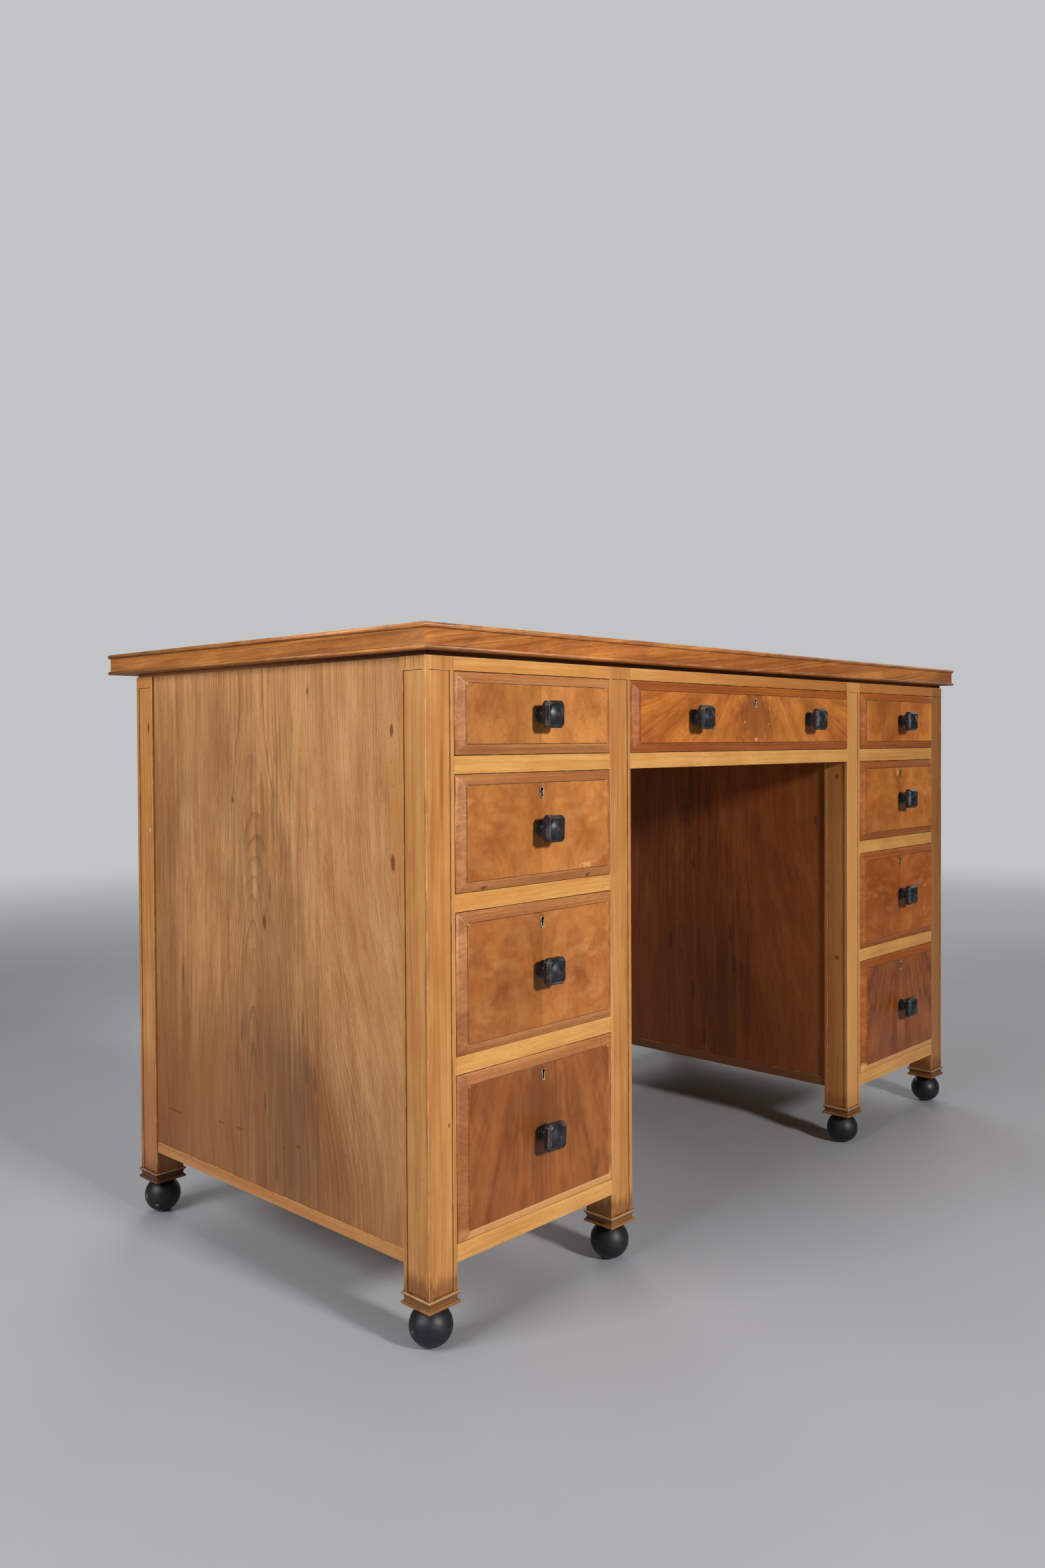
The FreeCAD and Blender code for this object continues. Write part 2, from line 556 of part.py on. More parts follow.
def make_drawer(x0, x1, z0, z1, knob_xs, keyed):
    """Solids of one drawer: front, box, knobs, and its lock and bolt when it has one."""
    middle = (x0 + x1) / 2
    fx0, fx1 = x0 + DRAWER_PLAY, x1 - DRAWER_PLAY
    fz0, fz1 = z0 + DRAWER_PLAY, z1 - DRAWER_PLAY
    front = block(fx0, fx1, Y_FRONT, Y_CORE_BACK, fz0, fz1).fuse(raised_field(fx0, fx1, fz0, fz1))
    y_end = Y_FRONT + DRAWER_LENGTH
    side_low, side_high = z0 + RUN_CLEARANCE, z1 - SIDE_DROP
    sides = [block(x, x + width, Y_CORE_BACK - SIDE_LAP, y_end, side_low, side_high)
             for x, width in ((fx0, DRAWER_SIDE), (fx1, -DRAWER_SIDE))]
    ix0, ix1 = fx0 + DRAWER_SIDE, fx1 - DRAWER_SIDE
    z_bottom = z0 + BOTTOM_LIFT
    bottom = block(ix0 - BOTTOM_TONGUE, ix1 + BOTTOM_TONGUE, Y_CORE_BACK - BOTTOM_TONGUE, y_end,
                   z_bottom, z_bottom + BOTTOM_THICK)
    back = block(ix0, ix1, y_end - DRAWER_SIDE, y_end, z_bottom + BOTTOM_THICK,
                 side_high - DRAWER_BACK_DROP)
    groove = grown(bottom, JOINT_FIT)
    front = front.cut([grown(side, JOINT_FIT) for side in sides] + [groove])
    sides = [side.cut(groove) for side in sides]

    knobs = [make_knob(x, (z0 + z1) / 2) for x in knob_xs]
    holes = [Part.makeCylinder(KNOB_SPIGOT / 2 + JOINT_FIT, KNOB_SPIGOT_LENGTH + JOINT_FIT,
                               Vector(x, Y_FIELD, (z0 + z1) / 2), Vector(0, 1, 0))
             for x in knob_xs]
    front = front.cut(holes).removeSplitter()
    pieces = {"box": sides + [back, bottom], "knob": knobs}
    if keyed:
        cuts, mortise = lock_cuts(middle, z1)
        front = front.cut(cuts)
        case, thread, bolt = make_lock(middle, z1)
        pieces["lock"] = [case, thread]
        pieces["lock_bolt"] = [bolt]
        MORTISES.append(mortise)
    pieces["front"] = [front]
    return pieces


# ---------------------------------------------------------------- assembly
MORTISES = []                # over the lock bolts, cut in the rails
housings = []                # tenons and tongues, cut in the posts

drawers = {}
for word, side in PEDESTALS.items():
    x0, x1 = opening_span(side)
    for number, (low, high) in enumerate(reversed(OPENINGS), start=1):
        drawers["%s_drawer_%d" % (word, number)] = make_drawer(
            x0, x1, low, high, [(x0 + x1) / 2], keyed=number > 1)
drawers["centre_drawer"] = make_drawer(
    -X_INNER, X_INNER, OPENINGS[-1][0], Z_OPENING_TOP,
    [-CENTRE_KNOB_SPACING / 2, CENTRE_KNOB_SPACING / 2], keyed=True)

edging, board, spacers, screws = make_top()
front_rails = make_front_rails(housings)
back_rails = make_back_rails(housings)
back_panels = make_back_panels(housings)
side_panels = make_side_panels(housings)
side_rails = make_side_rails(housings)
front_rails = [cut_all(rail, MORTISES + screws) for rail in front_rails]
back_rails = [cut_all(rail, screws) for rail in back_rails]
posts = [make_post(*place, housings) for place in post_places()]

write("top_board", [board])
write("top_edging", edging)
write("top_spacers", spacers)
write("top_screws", screws)
write("front_posts", [p for p, place in zip(posts, post_places()) if place[3] < 0])
write("back_posts", [p for p, place in zip(posts, post_places()) if place[3] > 0])
write("foot_collars", [make_collar(x, y) for x, y, _, _ in post_places()])
write("ball_feet", [make_ball_foot(x, y) for x, y, _, _ in post_places()])
write("front_rails", front_rails)
write("back_rails", back_rails)
write("side_rails", side_rails)
write("left_outer_panel", [side_panels[0]])
write("right_outer_panel", [side_panels[2]])
write("kneehole_panels", [side_panels[1], side_panels[3]])
write("back_panels", back_panels)
write("bottom_boards", make_bottom_boards())
write("drawer_runners", make_runners())
write("drawer_guides", make_guides())
write("drawer_stops", make_stops())
for name, pieces in drawers.items():
    for piece, solids in pieces.items():
        write(name + "_" + piece, solids)
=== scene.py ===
# %% [markdown]
# # Dressing a walnut pedestal desk
# The desk's construction is already settled: it comes in as a fixed frame of posts, rails,
# panels and drawers. This lesson gives each visible part its real finish and its small
# details: eased arrises, sunk panels, moulded edging, bookmatched veneer, ebonised knobs.
# Lengths are in metres, +X runs right along the front, +Y to the back and +Z up.

# %% Load the frame
import bpy, bmesh, math
from mathutils import Matrix, Vector


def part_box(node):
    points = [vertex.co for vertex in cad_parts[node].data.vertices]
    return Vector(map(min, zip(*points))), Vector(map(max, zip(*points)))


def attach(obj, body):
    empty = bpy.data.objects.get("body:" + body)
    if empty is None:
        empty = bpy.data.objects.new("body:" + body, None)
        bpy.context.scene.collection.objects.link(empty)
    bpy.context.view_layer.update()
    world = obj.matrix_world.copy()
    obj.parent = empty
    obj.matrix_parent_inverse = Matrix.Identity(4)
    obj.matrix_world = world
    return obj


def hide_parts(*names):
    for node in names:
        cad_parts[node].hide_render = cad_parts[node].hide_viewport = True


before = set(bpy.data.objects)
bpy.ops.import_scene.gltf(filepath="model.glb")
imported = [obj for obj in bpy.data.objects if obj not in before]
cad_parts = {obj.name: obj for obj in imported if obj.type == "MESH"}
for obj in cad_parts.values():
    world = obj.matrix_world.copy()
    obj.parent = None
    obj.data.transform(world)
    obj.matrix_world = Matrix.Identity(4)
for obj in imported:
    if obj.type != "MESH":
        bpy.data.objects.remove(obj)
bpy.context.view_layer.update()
MM = 0.001

# %% [markdown]
# ## The camera
# A camera is a place, three turns and a lens. The turns are built in the order a
# photographer makes them: swing round the upright axis, tip the lens down a little, then
# the small lean of a tripod that isn't quite level. The slight vertical shift is a rise of
# the lens, which frames the desk low in the picture without tipping the camera.

# %% Place the camera
PICTURE_TALL = 2352                      # pixels, the picture's long side
lens_pixels = 1796.66
camera_place = Vector((-1.45504, -1.23687, 0.64772))
swing, tip, lean = -0.81257, -0.01668, -0.00546

lens = bpy.data.cameras.new("camera")
lens.sensor_width = 36.0
lens.lens = lens_pixels / PICTURE_TALL * 36.0
lens.shift_y = (1142.75 - PICTURE_TALL / 2) / PICTURE_TALL
camera = bpy.data.objects.new("camera", lens)
bpy.context.scene.collection.objects.link(camera)
camera.matrix_world = (Matrix.Translation(camera_place) @ Matrix.Rotation(swing, 4, "Z")
                       @ Matrix.Rotation(math.pi / 2 + tip, 4, "X")
                       @ Matrix.Rotation(lean, 4, "Z"))
bpy.context.scene.camera = camera
print("lens", round(lens.lens, 2), "mm, shift", round(lens.shift_y, 4))

# %% [markdown]
# ## Small helpers for shader nodes
# A material is a graph of nodes. Small helpers keep the graphs readable: put adds a node
# and wires its inputs, and the others are the few steps that every finish here repeats,
# such as a sum, a mix of two colours, a stretch of values and a noise.

# %% Node helpers
def tint(red, green, blue):
    """A colour as a paint chart gives it, 0 to 255, turned into the linear value Blender uses."""
    def linear(value):
        value /= 255.0
        return value / 12.92 if value <= 0.04045 else ((value + 0.055) / 1.055) ** 2.4
    return (linear(red), linear(green), linear(blue), 1.0)


def put(tree, kind, inputs=None, **settings):
    """Add a node. An input takes a number, a colour or another node's output."""
    made = tree.nodes.new("ShaderNode" + kind)
    for key, value in settings.items():
        setattr(made, key, value)
    for key, value in (inputs or {}).items():
        if isinstance(value, bpy.types.NodeSocket):
            tree.links.new(value, made.inputs[key])
        else:
            made.inputs[key].default_value = value
    return made


def sum_of(tree, operation, first, second=0.0, third=0.0, clamp=False):
    """One arithmetic step."""
    return put(tree, "Math", {0: first, 1: second, 2: third}, operation=operation,
               use_clamp=clamp).outputs[0]


def vector_step(tree, operation, first, second=(0.0, 0.0, 0.0)):
    """One step on a vector."""
    return put(tree, "VectorMath", {0: first, 1: second}, operation=operation).outputs[0]


def blend(tree, share, first, second, how="MIX"):
    """Mix two colours."""
    return put(tree, "Mix", {0: share, 6: first, 7: second}, data_type="RGBA",
               blend_type=how).outputs[2]


def ramp(tree, value, low, high):
    """Stretch a value so that low becomes 0 and high becomes 1."""
    return put(tree, "MapRange", {"Value": value, "From Min": low, "From Max": high},
               interpolation_type="SMOOTHSTEP").outputs[0]


def noise(tree, vector, fine, detail=2.0, rough=0.5):
    """Soft random values and colours in space. The larger fine is, the smaller their grain."""
    vector = vector_step(tree, "MULTIPLY", vector, fine)
    return put(tree, "TexNoise", {"Vector": vector, "Scale": 1.0, "Detail": detail,
                                  "Roughness": rough}).outputs


def scaled(tree, vector, share):
    """A vector made longer or shorter."""
    return put(tree, "VectorMath", {0: vector, "Scale": share}, operation="SCALE").outputs[0]


def length_of(tree, vector):
    """How long a vector is."""
    return put(tree, "VectorMath", {0: vector}, operation="LENGTH").outputs["Value"]


def use(tree, effect, inputs):
    """Place a node group and set or wire its inputs."""
    return put(tree, "Group", inputs, node_tree=effect).outputs


def group(name, inputs, outputs):
    """A new node group with named sockets; returns it with its input and output nodes."""
    made = bpy.data.node_groups.new(name, "ShaderNodeTree")
    kinds = {"v": "NodeSocketVector", "f": "NodeSocketFloat", "c": "NodeSocketColor"}
    for way, sockets in (("INPUT", inputs), ("OUTPUT", outputs)):
        for socket, kind in sockets:
            made.interface.new_socket(socket, in_out=way, socket_type=kinds[kind])
    source, sink = made.nodes.new("NodeGroupInput"), made.nodes.new("NodeGroupOutput")
    return made, source.outputs, sink.inputs


print("tint of a mid grey:", [round(part, 3) for part in tint(128, 128, 128)])

# %% [markdown]
# ## Timber as a solid
# Real grain isn't printed on a board, it runs through it. So the timber effect works in
# three dimensions: growth rings lie round a pith that runs along Z, bent by slow noise, and
# a board shows whatever its faces cut through. Tilting the board against the pith gives the
# pointed cathedral figure; moving it far from the pith gives straight lines. Each ring has
# its own strength, and fine fibres and pores lie along the grain. Stray says how far apart
# in the tree two boards with different numbers were cut.

# %% The timber group
timber, given, result = group(
    "timber",
    [("Vector", "v"), ("Board", "f"), ("Stray", "f"), ("Ring", "f"), ("Sharp", "f"), ("Bend", "f"),
     ("Light", "c"), ("Middle", "c"), ("Dark", "c"), ("Lines", "f"), ("Bands", "f"),
     ("Cloud", "f"), ("Pores", "f")],
    [("Color", "c"), ("Height", "f")])
t = timber
draw = put(t, "TexWhiteNoise", {"W": given["Board"]}, noise_dimensions="1D").outputs["Color"]
sideways = vector_step(t, "MULTIPLY", vector_step(t, "SUBTRACT", draw, (0.5,) * 3), (1.0, 1.0, 0.0))
stray = scaled(t, sideways, given["Stray"])
down = put(t, "CombineXYZ", {2: sum_of(t, "MULTIPLY", given["Board"], 1.37)}).outputs[0]
place = vector_step(t, "ADD", vector_step(t, "ADD", given["Vector"], stray), down)
slow = noise(t, place, (7.0, 7.0, 2.2), detail=4.0)
bend = scaled(t, vector_step(t, "SUBTRACT", slow["Color"], (0.5,) * 3), given["Bend"])
bent = vector_step(t, "ADD", place, bend)
flat = vector_step(t, "MULTIPLY", bent, (1.0, 1.0, 0.0))
from_pith = length_of(t, flat)
ring_at = sum_of(t, "DIVIDE", from_pith, given["Ring"])
ring_part = sum_of(t, "FRACT", ring_at)
late = sum_of(t, "MULTIPLY", sum_of(t, "POWER", ring_part, given["Sharp"]),
              sum_of(t, "SUBTRACT", 1.0, sum_of(t, "POWER", ring_part, 30.0)))
each = put(t, "TexWhiteNoise", {"W": sum_of(t, "FLOOR", ring_at)},
           noise_dimensions="1D").outputs["Value"]
patchy = noise(t, bent, (34.0, 34.0, 6.0))[0]
line = sum_of(t, "MULTIPLY", sum_of(t, "MULTIPLY", late, sum_of(t, "MULTIPLY_ADD", each, 0.8, 0.3)),
              ramp(t, patchy, 0.28, 0.60))
tone = noise(t, bent, (38.0, 38.0, 1.6))[0]
streak = noise(t, bent, (150.0, 150.0, 3.0), rough=0.6)[0]
fibre = noise(t, bent, (560.0, 560.0, 10.0), detail=3.0, rough=0.65)[0]
pore = noise(t, bent, (2100.0, 2100.0, 85.0), detail=1.0)[0]
pore = ramp(t, pore, 0.58, 0.70)
cloud = noise(t, bent, (24.0, 24.0, 13.0), detail=3.0, rough=0.55)[0]
body = sum_of(t, "MULTIPLY", sum_of(t, "MULTIPLY_ADD", ramp(t, tone, 0.30, 0.70), 0.62,
              sum_of(t, "MULTIPLY", ramp(t, streak, 0.32, 0.72), 0.5)), given["Bands"])
body = sum_of(t, "MULTIPLY_ADD", ramp(t, fibre, 0.30, 0.72), 0.34, body)
body = sum_of(t, "ADD", body, sum_of(t, "MULTIPLY", sum_of(t, "SUBTRACT", cloud, 0.48),
                                     sum_of(t, "MULTIPLY", given["Cloud"], 3.0)), clamp=True)
colour = blend(t, body, given["Light"], given["Middle"])
colour = blend(t, sum_of(t, "MULTIPLY", line, given["Lines"], clamp=True), colour, given["Dark"])
colour = blend(t, sum_of(t, "MULTIPLY", pore, given["Pores"], clamp=True), colour, given["Dark"])
t.links.new(colour, result["Color"])
t.links.new(sum_of(t, "MULTIPLY_ADD", pore, -0.7, sum_of(t, "MULTIPLY_ADD", fibre, 0.3,
                   sum_of(t, "MULTIPLY", line, -0.3))), result["Height"])
print("timber group:", len(timber.nodes), "nodes")

# %% [markdown]
# ## Veneer laid as a pair, and a fan
# A drawer front is veneered with two leaves opened like a book, so the figure is mirrored
# about a seam. The "pair" group folds the coordinates at the seam and tells the two leaves
# apart, because light runs differently along a leaf and its mirror: one always looks darker.
# The "fan" group bends straight grain into rays that spread from a point above, as near a
# crotch of the tree.

# %% Groups for laid veneer
pair, given, result = group("pair", [("Vector", "v")], [("Vector", "v"), ("Leaf", "f")])
parts = put(pair, "SeparateXYZ", {0: given["Vector"]}).outputs
pair.links.new(put(pair, "CombineXYZ", {0: sum_of(pair, "ABSOLUTE", parts[0]), 1: parts[1],
                                        2: parts[2]}).outputs[0], result["Vector"])
pair.links.new(put(pair, "MapRange", {"Value": parts[0], "From Min": -0.0004,
                                      "From Max": 0.0004}).outputs[0], result["Leaf"])

fan, given, result = group("fan", [("Vector", "v"), ("Above", "f")], [("Vector", "v")])
parts = put(fan, "SeparateXYZ", {0: given["Vector"]}).outputs
drop = sum_of(fan, "SUBTRACT", given["Above"], parts[2])
angle = sum_of(fan, "ARCTAN2", parts[0], drop)
reach = sum_of(fan, "SQRT", sum_of(fan, "MULTIPLY_ADD", parts[0], parts[0],
                                   sum_of(fan, "MULTIPLY", drop, drop)))
wide = sum_of(fan, "MULTIPLY", given["Above"], 1.8)
fan.links.new(put(fan, "CombineXYZ", {0: sum_of(fan, "MULTIPLY", angle, wide),
                                      1: parts[1],
                                      2: sum_of(fan, "MULTIPLY", reach, -1.0)}).outputs[0],
              result["Vector"])
print("laid veneer groups:", pair.name, fan.name)

# %% [markdown]
# ## Knots, sweeps and stains
# Grain flows round a knot and sweeps aside near a branch. The "swirl" group moves the
# coordinates near one place before the rings are drawn: Squeeze pushes the lines out round
# it, Push sweeps them to one side, and Eye marks the knot itself. The "spot" group makes a
# ragged soft mask at one place, for a stain, a rubbed patch or a filled dent. The "curl"
# group draws soft broken contour bands, as curly figure shows where the fibres turn.

# %% Groups for knots and stains
swirl, given, result = group("swirl", [("Vector", "v"), ("Place", "v"), ("Reach", "v"),
                                       ("Squeeze", "f"), ("Push", "v")],
                             [("Vector", "v"), ("Eye", "f")])
near = vector_step(swirl, "SUBTRACT", given["Vector"], given["Place"])
share = vector_step(swirl, "DIVIDE", near, given["Reach"])
square = put(swirl, "VectorMath", {0: share, 1: share}, operation="DOT_PRODUCT").outputs["Value"]
fall = sum_of(swirl, "EXPONENT", sum_of(swirl, "MULTIPLY", square, -1.0))
pushed = scaled(swirl, given["Push"], fall)
squeezed = scaled(swirl, vector_step(swirl, "MULTIPLY", near, (1.0, 1.0, 0.0)),
                  sum_of(swirl, "MULTIPLY", fall, given["Squeeze"]))
swirl.links.new(vector_step(swirl, "SUBTRACT", vector_step(swirl, "ADD", given["Vector"], pushed),
                            squeezed), result["Vector"])
swirl.links.new(ramp(swirl, square, 0.12, 0.03), result["Eye"])

spot, given, result = group("spot", [("Vector", "v"), ("Place", "v"), ("Reach", "v"),
                                     ("Ragged", "f"), ("Fine", "v")], [("Mask", "f")])
share = vector_step(spot, "DIVIDE", vector_step(spot, "SUBTRACT", given["Vector"], given["Place"]),
                    given["Reach"])
length = length_of(spot, share)
ragged = noise(spot, given["Vector"], given["Fine"], detail=4.0, rough=0.6)[0]
uneven = sum_of(spot, "SUBTRACT", ragged, 0.44)
length = sum_of(spot, "MULTIPLY_ADD", uneven, given["Ragged"], length)
spot.links.new(ramp(spot, length, 1.0, 0.45), result["Mask"])

curl, given, result = group("curl", [("Vector", "v"), ("Fine", "v"), ("Count", "f"), ("Thin", "f")],
                            [("Mask", "f")])
hills = noise(curl, given["Vector"], given["Fine"], detail=3.0)[0]
level = sum_of(curl, "FRACT", sum_of(curl, "MULTIPLY", hills, given["Count"]))
near = sum_of(curl, "ABSOLUTE", sum_of(curl, "SUBTRACT", level, 0.5))
broken = ramp(curl, noise(curl, given["Vector"], (19.0,) * 3, detail=3.0)[0], 0.34, 0.66)
line = ramp(curl, near, given["Thin"], 0.0)
curl.links.new(sum_of(curl, "MULTIPLY", line, broken), result["Mask"])
print("place groups:", swirl.name, spot.name, curl.name)

# %% [markdown]
# ## Wear, dirt and painted shade
# Handling rubs the finish thin on arrises and leaves dirt in quirks. Each mesh carries two
# marks on its faces: "arris" on an eased edge and "recess" in a groove, a hollow or under a
# lip. The wear group turns them into patchy masks, so an edge is worn in places, never as an
# even line. The recess mask darkens its faces: partly dirt, partly painted shade. Small
# bruises and specks come in clusters over the faces as well.

# %% The wear group
wear, given, result = group("wear", [("Vector", "v"), ("Amount", "f")],
                            [("Worn", "f"), ("Dirt and shade", "f"), ("Specks", "f")])
arris = put(wear, "Attribute", attribute_name="arris").outputs["Fac"]
recess = put(wear, "Attribute", attribute_name="recess").outputs["Fac"]
rub = noise(wear, given["Vector"], (48.0,) * 3, detail=5.0, rough=0.6)[0]
wear.links.new(sum_of(wear, "MULTIPLY", sum_of(wear, "MULTIPLY", arris, ramp(wear, rub, 0.44, 0.64)),
                      given["Amount"], clamp=True), result["Worn"])
# Recess faces, unevenly darkened: dirt and painted shade.
wear.links.new(sum_of(wear, "MULTIPLY", recess, sum_of(wear, "MULTIPLY_ADD",
               ramp(wear, rub, 0.62, 0.38), 0.24, 0.66), clamp=True), result["Dirt and shade"])
fine = noise(wear, given["Vector"], (420.0,) * 3, detail=1.0)[0]
where = noise(wear, given["Vector"], (13.0,) * 3)[0]
wear.links.new(sum_of(wear, "MULTIPLY", ramp(wear, fine, 0.73, 0.78), ramp(wear, where, 0.50, 0.62)),
               result["Specks"])
print("wear group:", len(wear.nodes), "nodes")

# %% [markdown]
# ## The wood finishes
# Every wood here is the same graph with its own values: where the pith lies, how wide the
# rings are, three colours, and how strong the lines are. The surface is a thin satin
# lacquer, so a clear coat lies over a duller wood, and the grain only just telegraphs
# through it. Knots, sweeps and stains are given as lists, each with its own place.

# %% A wood material
TURN_TO_X = (0.0, math.radians(-90), 0.0)     # grain along X
TURN_TO_Y = (math.radians(90), 0.0, 0.0)      # grain along Y
UPRIGHT = (0.0, 0.0, 0.0)


def graph(block):
    """Switch on the nodes of a new material or world, and empty its graph."""
    block.use_nodes = True
    block.node_tree.nodes.clear()
    return block.node_tree


def surface(tree, colour, patchy, rough, duller, height, relief, deep, sockets):
    """The end of every finish here: patchy gloss, a little relief, and the shader."""
    dull = put(tree, "MapRange", {"Value": patchy, "To Min": rough - 0.10, "To Max": rough + duller})
    bump = put(tree, "Bump", {"Height": height, "Strength": relief, "Distance": deep})
    shader = put(tree, "BsdfPrincipled", {"Base Color": colour, "Roughness": dull.outputs[0],
                                          "Normal": bump.outputs[0], **sockets})
    put(tree, "OutputMaterial", {"Surface": shader.outputs[0]})


def wood(name, light, middle, dark, along=UPRIGHT, pith=(0.35, 0.45, 0.0), tilt=(0.0, 0.0, 0.0),
         centre=(0.0, 0.0, 0.0), stray=0.3, ring=0.009, sharp=4.0, bend=0.02, lines=0.55,
         bands=0.8, cloud=0.3, pores=0.5, rough=0.40, coat=0.12, worn=(222, 180, 118), amount=0.6,
         laid=None, above=0.5, other_leaf=0.86, dirt_and_shade=(66, 38, 20), knots=(), sweeps=(),
         stains=(), curls=()):
    """A wood finish. centre is the middle of the piece, along the run of its grain."""
    made = bpy.data.materials.new(name)
    tree = graph(made)
    at = put(tree, "TexCoord").outputs["Object"]
    spot_at = put(tree, "Mapping", {"Vector": at, "Location": tuple(-c for c in centre)}).outputs[0]
    leaf = None
    if laid:
        spot_at, leaf = use(tree, pair, {"Vector": spot_at})
    folded = spot_at
    if laid == "fan":
        spot_at = use(tree, fan, {"Vector": spot_at, "Above": above})[0]
    eyes = []
    rounds = [(k, (r * 0.9, r, r * 2.6), 0.85, (0, 0, 0)) for k, r in knots]
    for middle_at, reach, squeeze, push in rounds + list(sweeps):
        spot_at, eye = use(tree, swirl, {"Vector": spot_at, "Place": middle_at, "Reach": reach,
                                         "Squeeze": squeeze, "Push": push})
        if squeeze > 0.8:
            eyes.append(eye)
    spot_at = put(tree, "Mapping", {"Vector": spot_at, "Rotation": along}).outputs[0]
    spot_at = put(tree, "Mapping", {"Vector": spot_at, "Location": pith, "Rotation": tilt}).outputs[0]
    grain = use(tree, timber, {
        "Vector": spot_at, "Board": put(tree, "Attribute", attribute_name="board").outputs["Fac"],
        "Stray": stray, "Ring": ring, "Sharp": sharp, "Bend": bend, "Light": tint(*light),
        "Middle": tint(*middle), "Dark": tint(*dark), "Lines": lines, "Bands": bands,
        "Cloud": cloud, "Pores": pores})
    colour = grain["Color"]
    for fine, count, thin, shade, strength in curls:
        bands_at = {"Vector": folded, "Fine": fine, "Count": count, "Thin": thin}
        mask = use(tree, curl, bands_at)["Mask"]
        colour = blend(tree, sum_of(tree, "MULTIPLY", mask, strength), colour, tint(*shade))
    if leaf and other_leaf < 1.0:
        shaded = blend(tree, 1.0, colour, (other_leaf, other_leaf * 0.96, other_leaf * 0.90, 1.0),
                       "MULTIPLY")
        colour = blend(tree, leaf, shaded, colour)
    for middle_at, reach, ragged, fine, stain, strength in stains:
        mask = use(tree, spot, {"Vector": at, "Place": middle_at, "Reach": reach,
                                "Ragged": ragged, "Fine": fine})["Mask"]
        colour = blend(tree, sum_of(tree, "MULTIPLY", mask, strength), colour, tint(*stain))
    for eye in eyes:
        colour = blend(tree, sum_of(tree, "MULTIPLY", eye, 0.85), colour, tint(104, 56, 32))
    marks = use(tree, wear, {"Vector": at, "Amount": amount})
    colour = blend(tree, marks["Worn"], colour, tint(*worn))
    # Recess faces are darkened here: dirt, and painted shade in grooves, hollows and under lips.
    colour = blend(tree, marks["Dirt and shade"], colour, tint(*dirt_and_shade))
    colour = blend(tree, sum_of(tree, "MULTIPLY", marks["Specks"], 0.7), colour, tint(*dirt_and_shade))
    smear = noise(tree, at, (16.0,) * 3, detail=3.0)[0]
    surface(tree, colour, smear, rough, 0.12, grain["Height"], 0.35, 0.3 * MM,
            {"Coat Weight": coat, "Coat Roughness": 0.24, "Specular IOR Level": 0.3})
    return made


# %% [markdown]
# The posts and rails are one honey-coloured walnut, turned three ways. A stain in a list is
# a place, a reach, how ragged it is, the size of its ragged grain, a colour and a strength.
# Polish has gone dark and red just above the collars, where a mop reaches. The outer panels
# are cut near the pith, so pointed arches climb their middle, with a few small knots.

# %% Make the wood finishes
EVEN, UP, ACROSS = (90.0, 90.0, 90.0), (120.0, 120.0, 9.0), (9.0, 120.0, 120.0)
HONEY = dict(light=(210, 153, 88), middle=(178, 114, 56), dark=(108, 60, 28))
post_marks = [((0.0, 0.0, 0.058), (9.0, 9.0, 0.030), 1.5, UP, (104, 54, 26), 0.62),
              ((-0.62, 0.27, 0.05), (0.03, 0.05, 0.26), 0.6, UP, (140, 78, 40), 0.5),
              ((-0.596, -0.307, 0.600), (0.004, 0.01, 0.075), 1.2, UP, (150, 84, 34), 0.75),
              ((-0.588, -0.307, 0.239), (0.0022, 0.01, 0.0035), 0.4, EVEN, (110, 62, 30), 0.8),
              ((-0.617, -0.304, 0.40), (0.003, 0.003, 0.36), 1.6, (90.0, 90.0, 14.0), (104, 66, 38),
               0.7),
              ((0.276, -0.285, 0.4), (0.004, 0.03, 0.9), 0.2, UP, (170, 98, 42), 0.40),
              ((0.2965, -0.306, 0.4), (0.04, 0.005, 0.9), 0.1, UP, (224, 166, 94), 0.45),
              ((0.276, -0.287, 0.590), (0.004, 0.004, 0.006), 0.5, EVEN, (92, 46, 22), 0.8),
              ((0.276, -0.287, 0.300), (0.004, 0.006, 0.006), 0.5, EVEN, (92, 46, 22), 0.7),
              # Painted shade: the post at the right front is darkened, as the light falls off to the
              # right.
              ((0.5985, -0.29, 0.4), (0.06, 0.06, 0.9), 0.3, UP, (120, 66, 28), 0.50)]
cracks = [((-0.619, -0.306 + y, 0.7335), (0.01, 0.0007, 0.011), 0.8, EVEN, (66, 40, 24), 0.8)
          for y in (0.009, 0.018, 0.023, 0.031)]
dents = [((-0.619, 0.260, 0.669), (0.01, 0.0032, 0.010), 0.7, EVEN, (92, 54, 34), 0.85),
         ((-0.619, 0.258, 0.530), (0.01, 0.0020, 0.004), 0.3, EVEN, (206, 196, 180), 0.8)]
honey_upright = wood("honey_upright", **HONEY, dirt_and_shade=(122, 78, 44), ring=0.008, bend=0.022,
                     lines=0.42, bands=0.85, cloud=0.38, pores=0.2,
                     stains=post_marks + cracks + dents)
# The stain along the top rail, over the middle and right, is painted shade under the top's overhang.
honey_across = wood("honey_across", (222, 168, 94), (198, 136, 68), (132, 80, 38),
                    along=TURN_TO_X, ring=0.007, bend=0.020, lines=0.45, cloud=0.5, pores=0.3,
                    stains=[((0.45, -0.306, 0.732), (0.85, 0.02, 0.020), 0.3, ACROSS,
                             (166, 92, 37), 0.65)])
